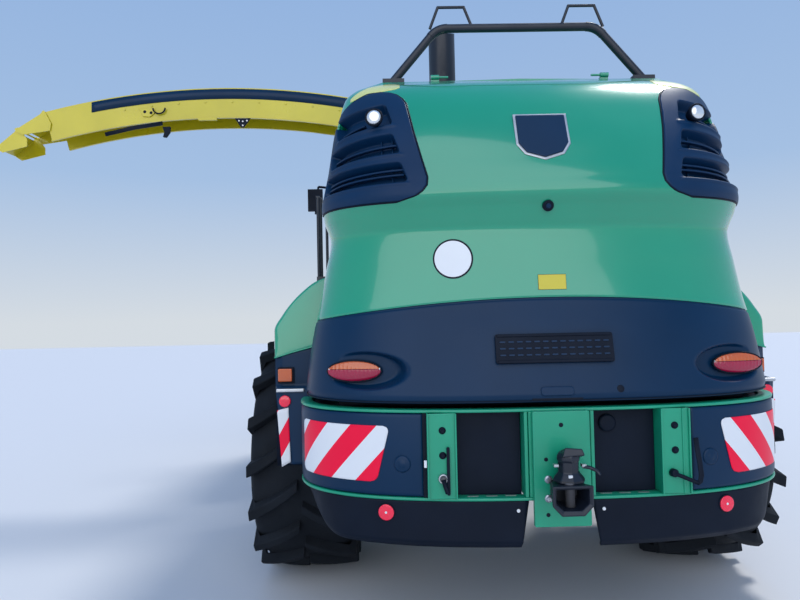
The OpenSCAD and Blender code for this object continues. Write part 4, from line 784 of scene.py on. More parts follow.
def plate_holder():
    """Number plate holder: shallow tray with slots and clips."""
    tilt = math.radians(12)
    up = np.array([math.sin(tilt), 0, math.cos(tilt)])
    out = np.array([-math.cos(tilt), 0, math.sin(tilt)])
    centre = np.array([0.0480, 0, 1.5435])
    back = plate("plate_holder_back", rounded_outline(0.535, 0.135, 0.010), centre, RIGHT, up, 0.010, "plastic",
                 "rear_hood", bevel=0.002)
    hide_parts("plate_holder")
    for k, v in enumerate((-0.060, 0.060)):
        plate("plate_holder_rail_%d" % k, rounded_outline(0.520, 0.014, 0.004), centre + out * 0.009 + up * v, RIGHT,
              up, 0.006, "plastic", "rear_hood")
    for k, u in enumerate(np.linspace(-0.235, 0.235, 13)):
        for j, v in enumerate((-0.030, 0.0, 0.030)):
            plate("plate_holder_rib_%d_%d" % (k, j), rounded_outline(0.026, 0.007, 0.003, 3),
                  centre + out * 0.009 + up * v + np.array([0, -u, 0]), RIGHT, up, 0.004, "dark", "rear_hood",
                  bevel=0)


def latch():
    """Handle of the hood under the plate holder and the lock beside it."""
    x = hood_at(0.0, 1.375)[0]
    plate("latch_pocket", rounded_outline(0.235, 0.105, 0.018), (x + 0.016, 0.0, 1.360), RIGHT, (0.2, 0, 1), 0.014,
          "plastic", "rear_hood", bevel=0.003)
    plate("latch_handle", rounded_outline(0.150, 0.042, 0.016), (x + 0.004, 0.0, 1.352), RIGHT, (0.2, 0, 1), 0.016,
          "dark", "rear_hood", bevel=0.005)
    disc("lock", (x + 0.010, -0.285, 1.356), (-1, 0, 0.2), 0.017, 0.012, "plastic", "rear_hood")


def work_light(side, label):
    """Round work light in the top window of a grille."""
    centre = np.array([0.259, 0.800 * side, 2.681])
    facing = unit((-1.0, 0.16 * side, 0.05))
    revolved("work_light_" + label, [(0, -0.05), (0.030, -0.05), (0.043, -0.012), (0.045, 0.0), (0.043, 0.006),
                                     (0.038, 0.006), (0.036, 0.0), (0, 0.0)], centre, facing, "plastic", "rear_hood")
    revolved("work_light_lens_" + label, [(0, 0.002), (0.036, 0.002), (0.034, 0.007), (0.024, 0.011), (0.010, 0.013),
                                          (0, 0.0135)], centre, facing, "lens", "rear_hood")


# Bumper


def bumper_flanges():
    """Green upper and lower flanges that run round from corner to corner, with posts and housing between."""
    size = settings("bumper")
    angle = even_angles(161) * 0.9995
    for name, z in (("upper", size.top_z - size.flange / 2), ("lower", size.low_z + size.flange / 2)):
        path = bumper_at(angle, z, 0.031)
        piece = sweep("bumper_flange_" + name, path, rounded_outline(0.062, size.flange, 0.005, 4), "green_frame")
        if name == "upper":
            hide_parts("bumper_frame")
    low, high = size.low_z + size.flange, size.top_z - size.flange
    for side, label in SIDES:
        y = sorted((0.460 * side, 0.584 * side))
        block("post_face_" + label, (0.012, y[0], low), (0.024, y[1], high), "green_frame", bevel=0.003)
        for k, edge in enumerate(y):
            block("post_edge_%s_%d" % (label, k), (0.002, edge - 0.004, low), (0.150, edge + 0.004, high),
                  "green_frame", bevel=0.003)
        fold = -0.560 if side < 0 else 0.456
        block("post_fold_" + label, (0.007, fold, low), (0.020, fold + 0.008, high), "green_frame", bevel=0.003)
        block("post_foot_" + label, (0.140, 0.380 * side, 0.950), (0.1997, 0.600 * side, 1.250), "green_frame",
              bevel=0.004)
    block("hitch_housing", (0.0, -0.137, low), (0.145, 0.137, high), "green_frame", bevel=0.004)
    block("bumper_carrier", (0.140, -0.385, 0.950), (0.160, 0.385, 1.250), "green_frame", bevel=0.003)
    for k, y in enumerate((0.148, -0.148)):
        block("hitch_flank_%d" % k, (0.004, y - 0.008, low), (0.13, y + 0.008, high), "green_frame", bevel=0.003)


def bumper_covers():
    """Black covers at the corners, plates between the posts and the skirts below."""
    size = settings("bumper")
    low, high = size.low_z + size.flange + 0.001, size.top_z - size.flange - 0.001
    for side, label in SIDES:
        a0, a1 = bumper_angle_at_y(0.607, 0.004), math.pi / 2 * 0.9995
        rows = [(low, 0.012), (low + 0.008, 0.005), (low + 0.02, 0.003), (high - 0.02, 0.003), (high - 0.008, 0.005),
                (high, 0.012)]
        angle = np.linspace(a0, a1, 90) if side > 0 else np.linspace(-a1, -a0, 90)
        grid = np.stack([bumper_at(angle, z, inset) for z, inset in rows])
        piece = sheet_piece("corner_cover_" + label, grid, "dark", thick=0.010)
        if side > 0:
            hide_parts("bumper_covers")
        block("middle_plate_" + label, (0.080, 0.158 * side, low - 0.050), (0.1, 0.455 * side, high), "plastic",
              bevel=0.003)
        block("post_gap_" + label, (0.036, 0.578 * side, low), (0.046, 0.606 * side, high), "plastic", bevel=0.002)
        skirt(side, label)


def bumper_deck_shade():
    """Dark plate that closes the bumper's top between its flange and the hood: a cover whose black is also painted
    shade in the gap under the hood.
    """
    angle = even_angles(121)
    level = np.full(121, settings("bumper").top_z - 0.010)
    rows = np.stack([bumper_at(angle, level, inset) for inset in (0.055, 0.120, 0.190)])
    # Black deck: partly a real cover, partly painted shade under the hood's lower edge
    sheet_piece("bumper_deck_shade", rows, "plastic", thick=0.004, flip=False)
    block("cooler_screen", (0.300, -1.000, 1.180), (0.308, 1.000, 1.440), "plastic", bevel=0.002)


def post_levers():
    """Locking levers on the two posts: pivot with a bright ring, handle and flat bar."""
    spot = np.array([0.012, 0.519, 0.980])
    revolved("post_ring_left", [(0, 0), (0.022, 0), (0.022, 0.012), (0.017, 0.016), (0.015, 0.012), (0, 0.012)], spot,
             BACK, "steel", count=28)
    tube("post_lever_left", [(-0.002, 0.519, 0.978), (-0.010, 0.512, 0.950), (-0.010, 0.502, 0.920)], 0.010,
         "plastic")
    plate("post_bar_left", rounded_outline(0.014, 0.212, 0.006), (0.004, 0.496, 1.014), RIGHT, UP, 0.008, "plastic",
          bevel=0.001)
    disc("post_boss_right", (0.012, -0.503, 0.982), (-1, -0.3, 0), 0.018, 0.024, "plastic", edge=0.006)
    path = [(0.000, -0.505, 0.981), (-0.016, -0.535, 0.970), (-0.022, -0.570, 0.955), (-0.024, -0.600, 0.942)]
    tube("post_lever_right", path, 0.009, "plastic")
    path = [(-0.024, -0.596, 0.941), (-0.023, -0.610, 0.950), (-0.020, -0.617, 0.975), (-0.014, -0.614, 1.030),
            (-0.006, -0.609, 1.090), (-0.002, -0.606, 1.136)]
    sweep("post_handle_right", path, rounded_outline(0.022, 0.006, 0.002, 3), "plastic", up=BACK)


def bumper_marks():
    """Small white plate beside the left post and slotted ledges behind the openings."""
    block("post_tag", (0.002, 0.591, 1.031), (0.006, 0.603, 1.063), "white", bevel=0.001)
    for side, label in SIDES:
        for k, y in enumerate((0.190, 0.275, 0.360)):
            block("ledge_slot_%s_%d" % (label, k), (0.040, y * side, 0.8885), (0.052, (y + 0.05) * side, 0.8900),
                  "steel", bevel=0)


def skirt(side, label):
    """Skirt below the bumper: rows from the flange down to a lower edge that rises round the corner."""
    size = settings("bumper")
    top = size.low_z - 0.0005
    columns = 120
    angle = np.linspace(bumper_angle_at_y(0.141, 0.006), math.pi / 2 * 0.985, columns)
    y = bumper_at(angle, np.zeros(columns), 0.006)[:, 1]
    lower = size.skirt_z + 0.006 * np.clip((y - 0.2) / 0.7, 0, 1) + 0.15 * np.clip((y - 0.93) / 0.275, 0, 1) ** 3.6
    t = np.linspace(0, 1, 24)[:, None]
    grid = np.array(bumper_at(angle[None, :], np.zeros((24, 1)), 0.006))
    grid[..., 1] -= (0.018 + 0.034 * t) * ramp(y[None, :] - 0.90, 0.30)
    grid[..., 2] = top + t * (lower - top)
    lean = 0.035 * np.clip(1 - (y - 0.141) / 0.05, 0, 1)
    grid[..., 1] += t * lean
    grid[..., 0] += 0.018 * ramp(t - 0.86, 0.14)
    sheet_piece("skirt_" + label, on_side(grid, side), "plastic", thick=0.010, flip=side > 0)


def warning_panel(side, label):
    """Striped panel with round corners on the corner cover: rectangle in arc length and height, leaning inwards."""
    sample = np.linspace(0, math.pi / 2, 2000)
    line = bumper_at(sample, np.zeros(2000), 0.002)
    run = np.concatenate([[0], np.cumsum(np.linalg.norm(np.diff(line[:, :2], axis=0), axis=-1))])
    start = np.interp(0.752, line[:, 1], run)
    end = np.interp(1.178, line[:, 1], run)
    low, high, radius, slant = 0.953, 1.207, 0.032, 0.065
    t = np.linspace(0, 1, 40)
    z = low + t * (high - low)
    shift = slant * (1 - t)
    cut = radius - np.sqrt(np.clip(radius**2 - np.maximum(radius - np.minimum(z - low, high - z), 0) ** 2, 0, None))
    left, right = start + shift + cut, np.full(40, end) - cut
    s = left[:, None] + np.linspace(0, 1, 60)[None, :] * (right - left)[:, None]
    angle = np.interp(s, run, sample)
    grid = bumper_at(angle, z[:, None], -0.0005)
    chart = np.stack(np.broadcast_arrays(s, grid[..., 2]), axis=-1)
    sheet_piece("warning_panel_" + label, on_side(grid, side), "stripes", thick=0.002, flip=side < 0, uv=chart)


def bumper_fittings():
    """Reflectors, plugs, bolts and a cap on the bumper."""
    for side, label in SIDES:
        a = bumper_angle_at_y(0.774 * side, 0.006)
        spot, radius = bumper_at(a, 0.819, 0.006), 0.036
        facing = unit((-1, 0.22 * side, 0))
        disc("reflector_base_" + label, spot, facing, radius + 0.004, 0.006, "plastic")
        disc("reflector_" + label, spot + facing * 0.004, facing, radius, 0.007, "red")
        disc("reflector_dot_" + label, spot + facing * 0.0105, facing, 0.0055, 0.0015, "white", edge=0.0006,
             slot="lamp_red", count=14)
        a = bumper_angle_at_y(0.698 * side, 0.004)
        spot = bumper_at(a, 1.038, 0.004)
        facing = unit((-1, 0.18 * side, 0))
        revolved("corner_plug_" + label, [(0, 0), (0.038, 0), (0.038, 0.004), (0.030, 0.008), (0.022, 0.006),
                                          (0.014, 0.012), (0, 0.012)], spot, facing, "dark")
        for k, z in enumerate((1.191, 1.081)):
            bolt_head("post_bolt_%s_%d" % (label, k), (0.012, 0.519 * side, z), BACK, 0.017, "plastic")
        disc("skirt_plug_" + label, (0.006, 0.190 * side, 0.832), BACK, 0.008, 0.005, "white", slot="black_plastic",
             count=16)
    disc("round_cap", (0.082, -0.238, 1.198), BACK, 0.040, 0.022, "plastic", edge=0.012)


# Tow hitch


def hitch():
    """Hitch plate with its holes, jaw, pin tower and lever."""
    board = plate("hitch_board", rounded_outline(0.250, 0.503, 0.006, 3), (-0.0003, 0, 1.0195), RIGHT, UP, 0.0277,
                  "green_frame", bevel=0.003)
    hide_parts("hitch_plate")
    for k, (y, z, r) in enumerate(((0.070, 1.062, 0.009), (0.066, 0.821, 0.009), (0.0, 1.211, 0.010))):
        disc("hitch_hole_%d" % k, (-0.0275, y, z), BACK, r, 0.0012, "plastic", edge=0.0004)
    for k, (y, z) in enumerate(((0.062, 0.975), (0.063, 0.892))):
        bolt_head("hitch_bolt_%d" % k, (-0.028, y, z), BACK, 0.018, "steel")
    u, v = np.array([(1, 1), (1, -0.35), (0.55, -1), (-0.55, -1), (-1, -0.35), (-1, 1)]).T
    rings = np.array([(-0.0295, 0.046, 0.925, 0.044), (-0.080, 0.058, 0.927, 0.050), (-0.190, 0.083, 0.931, 0.060),
                      (-0.204, 0.085, 0.931, 0.062), (-0.206, 0.079, 0.932, 0.055), (-0.198, 0.068, 0.934, 0.043),
                      (-0.085, 0.050, 0.932, 0.034)])
    x, half, z, high = rings.T[..., None]
    grid = np.stack(np.broadcast_arrays(x, 0.006 - half * u, z + high * v), axis=-1)
    faces = grid_faces(7, 6, False, True).tolist() + [[5, 4, 3, 2, 1, 0], list(range(36, 42))]
    body = mesh_piece("hitch_jaw", grid.reshape(-1, 3), faces, "black", smooth=False)
    round_edges(body, 0.004)
    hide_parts("tow_hitch")
    revolved("hitch_pin", [(0, 0), (0.020, 0), (0.020, 0.085), (0.024, 0.088), (0.024, 0.100), (0, 0.100)],
             (-0.150, 0.004, 0.895), UP, "iron")
    tower = [(0, 0), (0.070, 0), (0.068, 0.012), (0.050, 0.034), (0.044, 0.040), (0.044, 0.085), (0.050, 0.092),
             (0.050, 0.110), (0.040, 0.122), (0, 0.122)]
    revolved("pin_tower", tower, (-0.105, -0.006, 0.988), UP, "black", count=8, smooth=False, bevel=0.004)
    block("pin_tower_back", (-0.100, -0.046, 0.980), (-0.030, 0.022, 1.088), "black", bevel=0.010)
    cap = [(-0.046, -0.014), (0.050, -0.008), (0.042, 0.020), (-0.030, 0.026)]
    plate("pin_tower_cap", cap, (-0.150, -0.014, 1.112), RIGHT, (0.35, 0, 1), -0.110, "black", bevel=0.005)
    for k, (y, z) in enumerate(((0.052, 1.058), (-0.066, 1.056))):
        block("pin_tower_clip_%d" % k, (-0.130, y - 0.010, z - 0.006), (-0.105, y + 0.010, z + 0.006), "steel",
              bevel=0.002)
    block("pin_tower_tag", (-0.160, -0.008, 1.012), (-0.150, 0.010, 1.024), "white", bevel=0.002)
    path = [(-0.12, -0.060, 1.052), (-0.13, -0.090, 1.048), (-0.13, -0.115, 1.036), (-0.13, -0.130, 1.018)]
    tube("hitch_lever", path, 0.008, "black")


# Fenders and wheels


# Section of a fender: step, share of its reach, height
FENDER_SKIN = np.array([(0, 0, 1.952), (1, 0.35, 1.920), (2, 0.62, 1.845), (3, 0.87, 1.730), (4, 1, 1.630),
                        (5, 1, 1.525)])
# Rear face of a fender's upper part, and the front of its skin
FENDER_REAR = 0.764
FENDER_FRONT = 2.782
# Share of the reach along a fender
FENDER_RUN = np.array([(0, 0.88), (0.030, 0.95), (0.080, 0.98), (0.200, 1), (1.960, 1), (2.100, 0.96), (2.170, 0.88)])


def fender(side, label):
    """Bulging skin over a rear wheel and the dark arch under it."""
    inner_y, reach = 1.000, 0.425
    length_x = FENDER_FRONT - FENDER_REAR
    x = np.concatenate([np.linspace(0, 0.2, 20), np.linspace(0.25, length_x - 0.22, 40),
                        np.linspace(length_x - 0.20, length_x, 20)])
    share = smooth_through(np.where(x < 0.25, x, x + 2.17 - length_x), FENDER_RUN)
    t = np.linspace(0, 5, 60)
    out, z = smooth_through(t, FENDER_SKIN), smooth_through(t, FENDER_SKIN, 2)
    grid = np.stack(np.broadcast_arrays(FENDER_REAR + x[:, None], (inner_y + reach * share[:, None] * out) * side,
                                        z[None, :]), axis=-1)
    skin = sheet_piece("fender_skin_" + label, grid, "green", thick=0.014, flip=side < 0, bevel=0.004)
    if side > 0:
        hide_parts("fenders")
    r, top, low = 0.310, 1.640, 0.900
    a = np.linspace(0, math.pi / 2, 16)
    x0, x1 = FENDER_REAR + 0.004, FENDER_FRONT
    line = np.concatenate([[(0.656, low), (0.656, 1.300), (x0, 1.312)],
                           np.stack([x0 + r - r * np.cos(a), top - r + r * np.sin(a)], -1),
                           np.stack([x1 - r + r * np.sin(a), top - r + r * np.cos(a)], -1), [(x1, low)]])
    width = np.linspace(1.036, 1.376, 6)
    arch = np.stack([np.stack([line[:, 0], np.full(len(line), w * side), line[:, 1]], -1) for w in width])
    sheet_piece("wheel_arch_" + label, arch, "plastic", thick=0.024, flip=side > 0)


def fender_cap(side, label):
    """Rear end of a fender: rows blend from the panel's top edge to the skin's section and bulge a little."""
    t = np.linspace(0, 5, 60)
    out, high = smooth_through(t, FENDER_SKIN), smooth_through(t, FENDER_SKIN, 2)
    high[-8:] = np.linspace(high[-8], 1.483, 8)
    outer = np.stack([1.000 + 0.400 * out, high], -1)[::-1]
    y_in = np.linspace(1.400, 1.000, 60)
    inner = np.stack([y_in, np.interp(y_in, (1.000, 1.185, 1.300, 1.400), (1.585, 1.541, 1.512, 1.483))], -1)
    share = np.linspace(0, 1, 24)[:, None, None]
    flat = inner[None] * (1 - share) + outer[None] * share
    bulge = np.sqrt(np.clip(1 - share[..., 0] ** 2, 0, 1)) * np.ones((1, 60))
    x = FENDER_REAR + 0.004 - 0.020 * bulge
    grid = np.stack([x, flat[..., 0] * side, flat[..., 1]], -1)[:, ::-1]
    sheet_piece("fender_cap_" + label, grid, "green", thick=0.004, flip=side < 0)
    edge = np.stack([np.full(60, FENDER_REAR - 0.0175), inner[:, 0] * side, inner[:, 1]], -1)
    tube("fender_bead_" + label, edge, 0.005, "green", up=(1, 0, 0), count=10)


def fender_back(side, label):
    """Dark rear panel of a fender with its side light, strip, reflector and striped board."""
    ledge, low = 1.318, 0.912
    t = np.linspace(0, 1, 44)[:, None]
    across = np.linspace(0, 1, 30)[None, :]
    y = 1.030 + across * 0.350
    top = np.interp(y, (1.030, 1.185, 1.300, 1.380), (1.578, 1.541, 1.512, 1.483)) - 0.002
    upper = ramp(t - 0.70, 0.02)
    z = low + (ledge - low) * np.clip(t / 0.70, 0, 1) + (top - ledge) * np.clip((t - 0.72) / 0.28, 0, 1)
    outer = 1.376 - 0.060 * (1 - ramp(z - 0.90, 0.42)) + 0.024 * upper
    y = 1.030 + across * (outer - 1.030)
    x = 0.628 + (FENDER_REAR - 0.014 - 0.628) * upper + 0.024 * ramp(across - 0.88, 0.12)
    grid = np.stack([x, y * side, z], axis=-1)
    panel = sheet_piece("fender_back_" + label, grid, "dark", thick=0.006, flip=side < 0, slot="dark_panel")
    light_x = FENDER_REAR - 0.014
    plate("side_light_case_" + label, rounded_outline(0.094, 0.090, 0.008), (light_x, 1.336 * side, 1.384), RIGHT, UP,
          0.014, "plastic")
    light = plate("side_light_" + label, rounded_outline(0.078, 0.072, 0.008), (light_x - 0.013, 1.338 * side, 1.385),
                  RIGHT, UP, 0.012, "orange", bevel=0.004)
    if side > 0:
        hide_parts("fender_panels")
        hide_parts("side_lamps")
    block("side_strip_" + label, (0.614, 1.216 * side, 1.303), (0.630, 1.368 * side, 1.322), "steel", bevel=0.005)
    disc("side_reflector_" + label, (0.628, 1.322 * side, 1.254), BACK, 0.032, 0.012, "red", edge=0.006)
    level = np.linspace(0, 1, 16)[:, None]
    span = np.linspace(0, 1, 8)[None, :]
    low = np.array([1.296, 1.344])
    high = np.array([1.304, 1.366])
    y = (low[0] + level * (high[0] - low[0])) * (1 - span) + (low[1] + level * (high[1] - low[1])) * span
    z = 0.925 - 0.025 * span + level * (0.294 - 0.014 * span + 0.025 * span)
    grid = np.stack([np.full_like(y, 0.625), y * side, z], axis=-1)
    chart = np.stack([y * 1.7 - 0.18, z], axis=-1)
    sheet_piece("side_board_" + label, grid, "stripes", thick=0.002, flip=side < 0, uv=chart)


# Axle, tyre's diameter and width, rim's diameter and width, middle of the left wheel
WHEELS = (("front", 2.050, 0.730, 1.067, 0.620, (4.880, 1.240, 1.025)),
          ("rear", 1.560, 0.640, 0.711, 0.520, (1.680, 1.300, 0.780)))


def tyre_piece(node, body, d, w, rim_d, rim_w, lugs, centre):
    """Carcass turned from its section, and lugs as bent bars with sloping flanks.

    A lug runs from the middle to one side: its angle falls behind as 1.25 v - 0.25 v^2, and its section is
    two feet on the carcass and two tips, at radii that sink a little towards the side.
    """
    lug_h = settings("tyres").lug_h
    r, ri = d / 2, rim_d / 2
    face, bead = w / 2 - 0.006, rim_w / 2 - 0.0125
    side = ri + (r - ri) * 0.55
    base = r - lug_h
    half = np.array([(ri, bead), (ri + 0.018, bead), (ri + 0.034, bead + 0.008), (ri + 0.055, face - 0.016),
                     (side - 0.05, face - 0.004), (side, face - 0.001), (side + 0.05, face - 0.004),
                     (base - 0.066, face * 0.955), (base - 0.045, face * 0.90), (base - 0.012, face * 0.66),
                     (base - 0.003, face * 0.33), (base, 0)])
    section = np.vstack([half * np.array([1, -1]), half[-2::-1]])
    carcass = revolved(node + "_carcass", section, centre, (0, 1, 0), "rubber", body, count=128, ring=True)
    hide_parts(node)
    turn = np.arange(2 * lugs)[:, None, None]
    v = np.linspace(0, 1, 9)[None, :, None]
    y = np.where(turn % 2, 1, -1) * (0.010 + v * (face - 0.012))
    ahead = -(0.250 * r) * (1.25 * v - 0.25 * v**2)
    foot = np.where(v < 0.93, base - 0.006 - 0.012 * v, base - 0.10)
    tip = r - 0.004 - 0.016 * v**2
    reach = np.concatenate([foot, tip, tip, foot], axis=2)
    a = math.pi * turn / lugs + (ahead + (0.026 + 0.010 * v) * np.array([-1.45, -1, 1, 1.45])) / r
    points = np.stack(np.broadcast_arrays(reach * np.sin(a), y, reach * np.cos(a)), axis=-1).reshape(-1, 3)
    skin, ends = grid_faces(9, 4, False, True), np.array([(0, 1, 2, 3), (35, 34, 33, 32)])
    lug = np.vstack([skin, ends]), np.vstack([skin[:, [0, 3, 2, 1]], ends[:, ::-1]])
    faces = np.concatenate([36 * k + lug[k % 2] for k in range(2 * lugs)])
    piece = mesh_piece(node + "_lugs", points + centre, faces, "rubber", body, smooth=False)
    round_edges(piece, 0.005, 1, 40)


def wheels():
    """All four tyres."""
    size = settings("tyres")
    for side, label in SIDES:
        for axle, d, w, rim_d, rim_w, centre in WHEELS:
            tyre_piece("%s_tyre_%s" % (axle, label), "%s_wheel_%s" % (axle, label), d, w, rim_d, rim_w,
                       getattr(size, axle + "_lugs"), on_side(centre, side))


# Finish of the solids that stay

NODE_FINISH = {
    "iron": ("engine_block",),
    "green_frame": ("front_axle", "crop_chute", "feeder_house"),
    "green": ("hood_deck", "side_door_left", "side_door_right", "cab_roof"),
    "dark": ("cab_body", "cab_door", "fender_panels"),
    "yellow": ("front_rim_left", "front_rim_right", "rear_rim_left", "rear_rim_right", "spout_turret", "spout_arm",
               "spout_flap_inner", "spout_flap_outer"),
    "steel": ("tie_rod", "spout_rod", "feed_roll_upper", "feed_roll_lower", "lift_rods"),
    "glass": ("cab_glass",),
    "fabric": ("cab_seat",),
    "plastic": ("mirrors",),
    "red": ("side_lamps",),
}


def dress_nodes():
    """Gives every solid its finish, black where the table names none."""
    f = finishes()
    look = {name: key for key, names in NODE_FINISH.items() for name in names}
    for name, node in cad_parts.items():
        key = look.get(name, "black")
        for slot in node.material_slots:
            slot.material = f[key]
        if not node.material_slots:
            node.data.materials.append(f[key])


# Spout


def spout_line(reach, lift=0.0):
    """Point on the outer line of the spout's long arch at a reach from the turret."""
    s = settings("spout")
    z = s.top_z - s.arch_r + np.sqrt((s.arch_r + lift) ** 2 - (reach - s.peak_r) ** 2)
    return np.stack(np.broadcast_arrays(s.x, reach, z), axis=-1)


def spout_trim():
    """Black wear strip along both flanks of the spout."""
    s = settings("spout")
    reach = np.linspace(3.90, 0.55, 90)
    outer, inner = spout_line(reach, -0.012), spout_line(reach, -0.120)
    for side in (-1, 1):
        edge = s.x + side * (s.half_w + 0.008)
        grid = np.stack([outer, inner])
        grid[..., 0] = edge + side * 0.004
        sheet_piece("spout_strip_%d" % (side + 1), grid, "dark", "spout_arm", thick=0.003, flip=side > 0)


def spout_fittings():
    """Brackets, rail, hose loop and guard on the rear flank of the spout."""
    s = settings("spout")
    x = s.x - s.half_w - 0.010
    ear = [(-0.092, 0.045), (0.070, 0.040), (0.090, 0.005), (0.020, -0.050), (-0.055, -0.045)]
    plate("spout_ear", ear, (x, 3.300, 3.945), RIGHT, (0, 0.09, 1), 0.012, "yellow", "spout_arm")
    for k, y in enumerate((3.330, 3.262)):
        disc("spout_ear_hole_%d" % k, (x - 0.012, y, 3.950 - 0.012 * k), BACK, 0.016, 0.002, "plastic", "spout_arm",
             edge=0.0008)
    t = np.linspace(0, math.pi, 14)
    loop = np.stack([np.full(14, x - 0.020), 3.175 + 0.065 * np.cos(t), 3.985 - 0.060 * np.sin(t)], -1)
    tube("spout_hose_loop", loop, 0.008, "plastic", "spout_arm")
    rail = [(x - 0.012, 3.750, 3.712), (x - 0.012, 3.450, 3.778), (x - 0.012, 3.141, 3.822)]
    sweep("spout_rail", rail, rounded_outline(0.016, 0.042, 0.004, 3), "plastic", "spout_arm")
    guard = [(-0.085, 0.0), (0.085, 0.0), (0.060, -0.035), (0.012, -0.100), (-0.020, -0.100), (-0.060, -0.040)]
    plate("spout_guard", guard, (x - 0.004, 2.285, 3.862), RIGHT, UP, 0.010, "plastic", "spout_arm")
    for k, (y, z) in enumerate(((2.325, 3.835), (2.285, 3.828), (2.240, 3.835), (2.285, 3.785))):
        disc("spout_guard_bolt_%d" % k, (x - 0.014, y, z), BACK, 0.009, 0.003, "steel", "spout_arm", edge=0.001,
             count=16)
    hook = [(0.045, 0.000), (0.040, -0.060), (0.000, -0.115), (-0.035, -0.110), (-0.020, -0.060), (-0.040, 0.0)]
    plate("spout_hook", hook, (x + 0.030, 3.110, 3.790), RIGHT, UP, 0.030, "plastic", "spout_arm")
    plate("spout_lug", rounded_outline(0.200, 0.030, 0.006, 3), (x, 2.660, 3.860), RIGHT, (0, 0.1, 1), 0.020,
          "yellow", "spout_arm")
    for k, y in enumerate(np.linspace(3.55, 1.25, 9)):
        z = float(spout_line(y, -0.150)[2])
        disc("spout_bolt_%d" % k, (x, y, z), BACK, 0.011, 0.005, "yellow", "spout_arm", edge=0.001, count=16)


# Operators


class HARVESTER_OT_stage(bpy.types.Operator):
    """Floor, light and the camera behind the machine"""

    bl_idname = "harvester.stage"
    bl_label = "Stage"

    def execute(self, context):
        stage()
        return {"FINISHED"}


class HARVESTER_OT_solids(bpy.types.Operator):
    """Finishes of the solids that stay"""

    bl_idname = "harvester.solids"
    bl_label = "Solids"

    def execute(self, context):
        dress_nodes()
        return {"FINISHED"}


class HARVESTER_OT_hood(bpy.types.Operator):
    """Rear hood with its grilles, lamps and fittings"""

    bl_idname = "harvester.hood"
    bl_label = "Rear hood"

    def execute(self, context):
        hood_cover()
        hood_underside()
        hood_panel()
        for side, label in SIDES:
            grille(side, label)
            trim_stripe(side, label)
            tail_lamp(side, label)
            work_light(side, label)
        hood_fittings()
        plate_holder()
        latch()
        return {"FINISHED"}


class HARVESTER_OT_bumper(bpy.types.Operator):
    """Bumper with its covers, skirts, warning panels and fittings"""

    bl_idname = "harvester.bumper"
    bl_label = "Bumper"

    def execute(self, context):
        bumper_flanges()
        bumper_covers()
        bumper_deck_shade()
        post_levers()
        bumper_marks()
        for side, label in SIDES:
            warning_panel(side, label)
        bumper_fittings()
        return {"FINISHED"}


class HARVESTER_OT_hitch(bpy.types.Operator):
    """Tow hitch on its plate"""

    bl_idname = "harvester.hitch"
    bl_label = "Tow hitch"

    def execute(self, context):
        hitch()
        return {"FINISHED"}


class HARVESTER_OT_wheels(bpy.types.Operator):
    """Tyres and the fenders over the rear wheels"""

    bl_idname = "harvester.wheels"
    bl_label = "Wheels"

    def execute(self, context):
        wheels()
        for side, label in SIDES:
            fender(side, label)
            fender_cap(side, label)
            fender_back(side, label)
        return {"FINISHED"}


class HARVESTER_OT_spout(bpy.types.Operator):
    """Trim of the spout"""

    bl_idname = "harvester.spout"
    bl_label = "Spout"

    def execute(self, context):
        spout_trim()
        spout_fittings()
        return {"FINISHED"}


# Stage


def camera_matrix(place, yaw, pitch, roll):
    """Camera to world: columns are right, up and back, turned by yaw, pitch and roll in degrees."""
    yaw, pitch, roll = (math.radians(v) for v in (yaw, pitch, roll))
    ahead = np.array([math.cos(pitch) * math.cos(yaw), math.cos(pitch) * math.sin(yaw), math.sin(pitch)])
    right = np.array([math.sin(yaw), -math.cos(yaw), 0])
    up = np.cross(right, ahead)
    right, up = (math.cos(roll) * right + math.sin(roll) * up, -math.sin(roll) * right + math.cos(roll) * up)
    matrix = np.eye(4)
    matrix[:3, 0], matrix[:3, 1], matrix[:3, 2], matrix[:3, 3] = right, up, -ahead, place
    return Matrix(matrix.tolist())


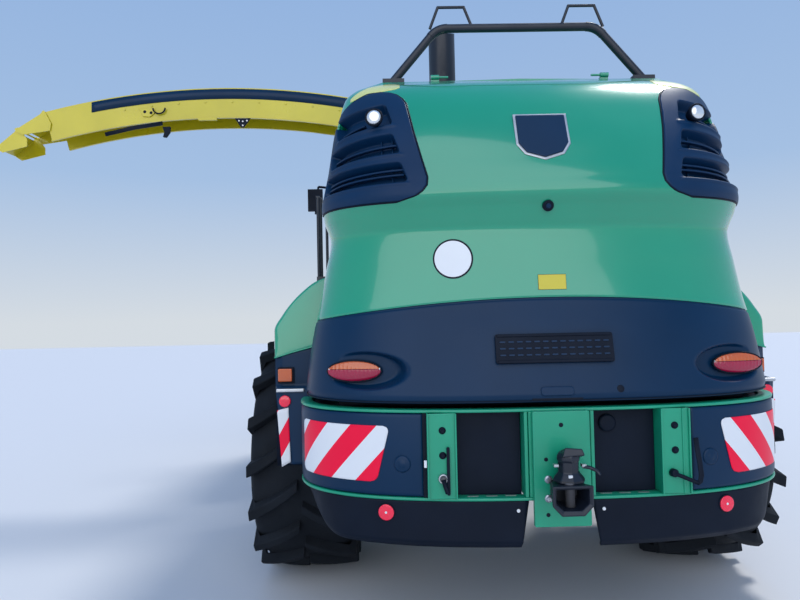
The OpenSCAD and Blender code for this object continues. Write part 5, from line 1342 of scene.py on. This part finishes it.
def stage():
    """Pale floor, soft daylight, and the camera where the photograph was taken."""
    floor_mesh = bpy.data.meshes.new("floor")
    corners = [(40 * u, 40 * v, GROUND_Z) for u, v in ((-1, -1), (1, -1), (1, 1), (-1, 1))]
    floor_mesh.from_pydata(corners, [], [(0, 1, 2, 3)])
    floor = bpy.data.objects.new("floor", floor_mesh)
    bpy.context.scene.collection.objects.link(floor)
    floor_mesh.materials.append(new_material("Pale floor", Base_Color=(0.62, 0.63, 0.65, 1), Roughness=0.7)[0])
    bpy.context.scene.view_settings.view_transform = "Standard"
    world = bpy.data.worlds.new("Soft daylight")
    bpy.context.scene.world = world
    world.use_nodes = True
    tree = world.node_tree
    place = shader_node(tree, "TexCoord")
    parts = shader_node(tree, "SeparateXYZ", None, {"Vector": (place, "Generated")})
    sky = shader_node(tree, "ValToRGB", None, {"Fac": (parts, "Z")})
    sky.color_ramp.elements[0].color = (0.78, 0.84, 0.90, 1)
    sky.color_ramp.elements[1].color = (0.16, 0.36, 0.80, 1)
    middle = sky.color_ramp.elements.new(0.22)
    middle.color = (0.44, 0.62, 0.90, 1)
    ground = tree.nodes["Background"]
    tree.links.new(sky.outputs["Color"], ground.inputs["Color"])
    ground.inputs["Strength"].default_value = 0.85
    for name, energy, spread, turn in (("sun", 2.0, 12, (35, 0, 38)), ("fill", 1.5, 70, (60, 0, -98))):
        sun = bpy.data.lights.new(name, "SUN")
        sun.energy = energy
        sun.angle = math.radians(spread)
        sun.color = (1.0, 0.97, 0.92)
        sun_object = bpy.data.objects.new(name, sun)
        sun_object.rotation_euler = [math.radians(v) for v in turn]
        bpy.context.scene.collection.objects.link(sun_object)
    lens = bpy.data.cameras.new("camera")
    lens.sensor_width = 36
    lens.lens = FOCAL_PX * lens.sensor_width / IMAGE_PX
    lens.clip_end = 200
    camera = bpy.data.objects.new("camera", lens)
    camera.matrix_world = camera_matrix(at_hitch(CAMERA_AT), *CAMERA_TURN)
    bpy.context.scene.collection.objects.link(camera)
    bpy.context.scene.camera = camera


class HARVESTER_PT_panel(bpy.types.Panel):
    """Buttons for the harvester's operators"""

    bl_idname = "HARVESTER_PT_panel"
    bl_label = "Forage harvester"
    bl_space_type = "VIEW_3D"
    bl_region_type = "UI"
    bl_category = "Harvester"

    def draw(self, context):
        for operator in OPERATORS:
            self.layout.operator(operator.bl_idname)


OPERATORS = (HARVESTER_OT_stage, HARVESTER_OT_solids, HARVESTER_OT_hood, HARVESTER_OT_bumper, HARVESTER_OT_hitch,
             HARVESTER_OT_wheels, HARVESTER_OT_spout)
GROUPS = {"harvester_colours": HarvesterColours, "harvester_hood": HoodSizes, "harvester_bumper": BumperSizes,
          "harvester_tyres": TyreSizes, "harvester_spout": SpoutSizes}


def register():
    """Registers the groups, operators and panel."""
    for name, group in GROUPS.items():
        bpy.utils.register_class(group)
        setattr(bpy.types.Scene, name, PointerProperty(type=group))
    for cls in (*OPERATORS, HARVESTER_PT_panel):
        bpy.utils.register_class(cls)


def unregister():
    """Takes everything out again."""
    for cls in (HARVESTER_PT_panel, *reversed(OPERATORS)):
        bpy.utils.unregister_class(cls)
    for name, group in GROUPS.items():
        delattr(bpy.types.Scene, name)
        bpy.utils.unregister_class(group)


def main():
    """Builds every group of pieces."""
    register()
    for operator in OPERATORS:
        group, name = operator.bl_idname.split(".")
        getattr(getattr(bpy.ops, group), name)()


if __name__ == "__main__":
    main()
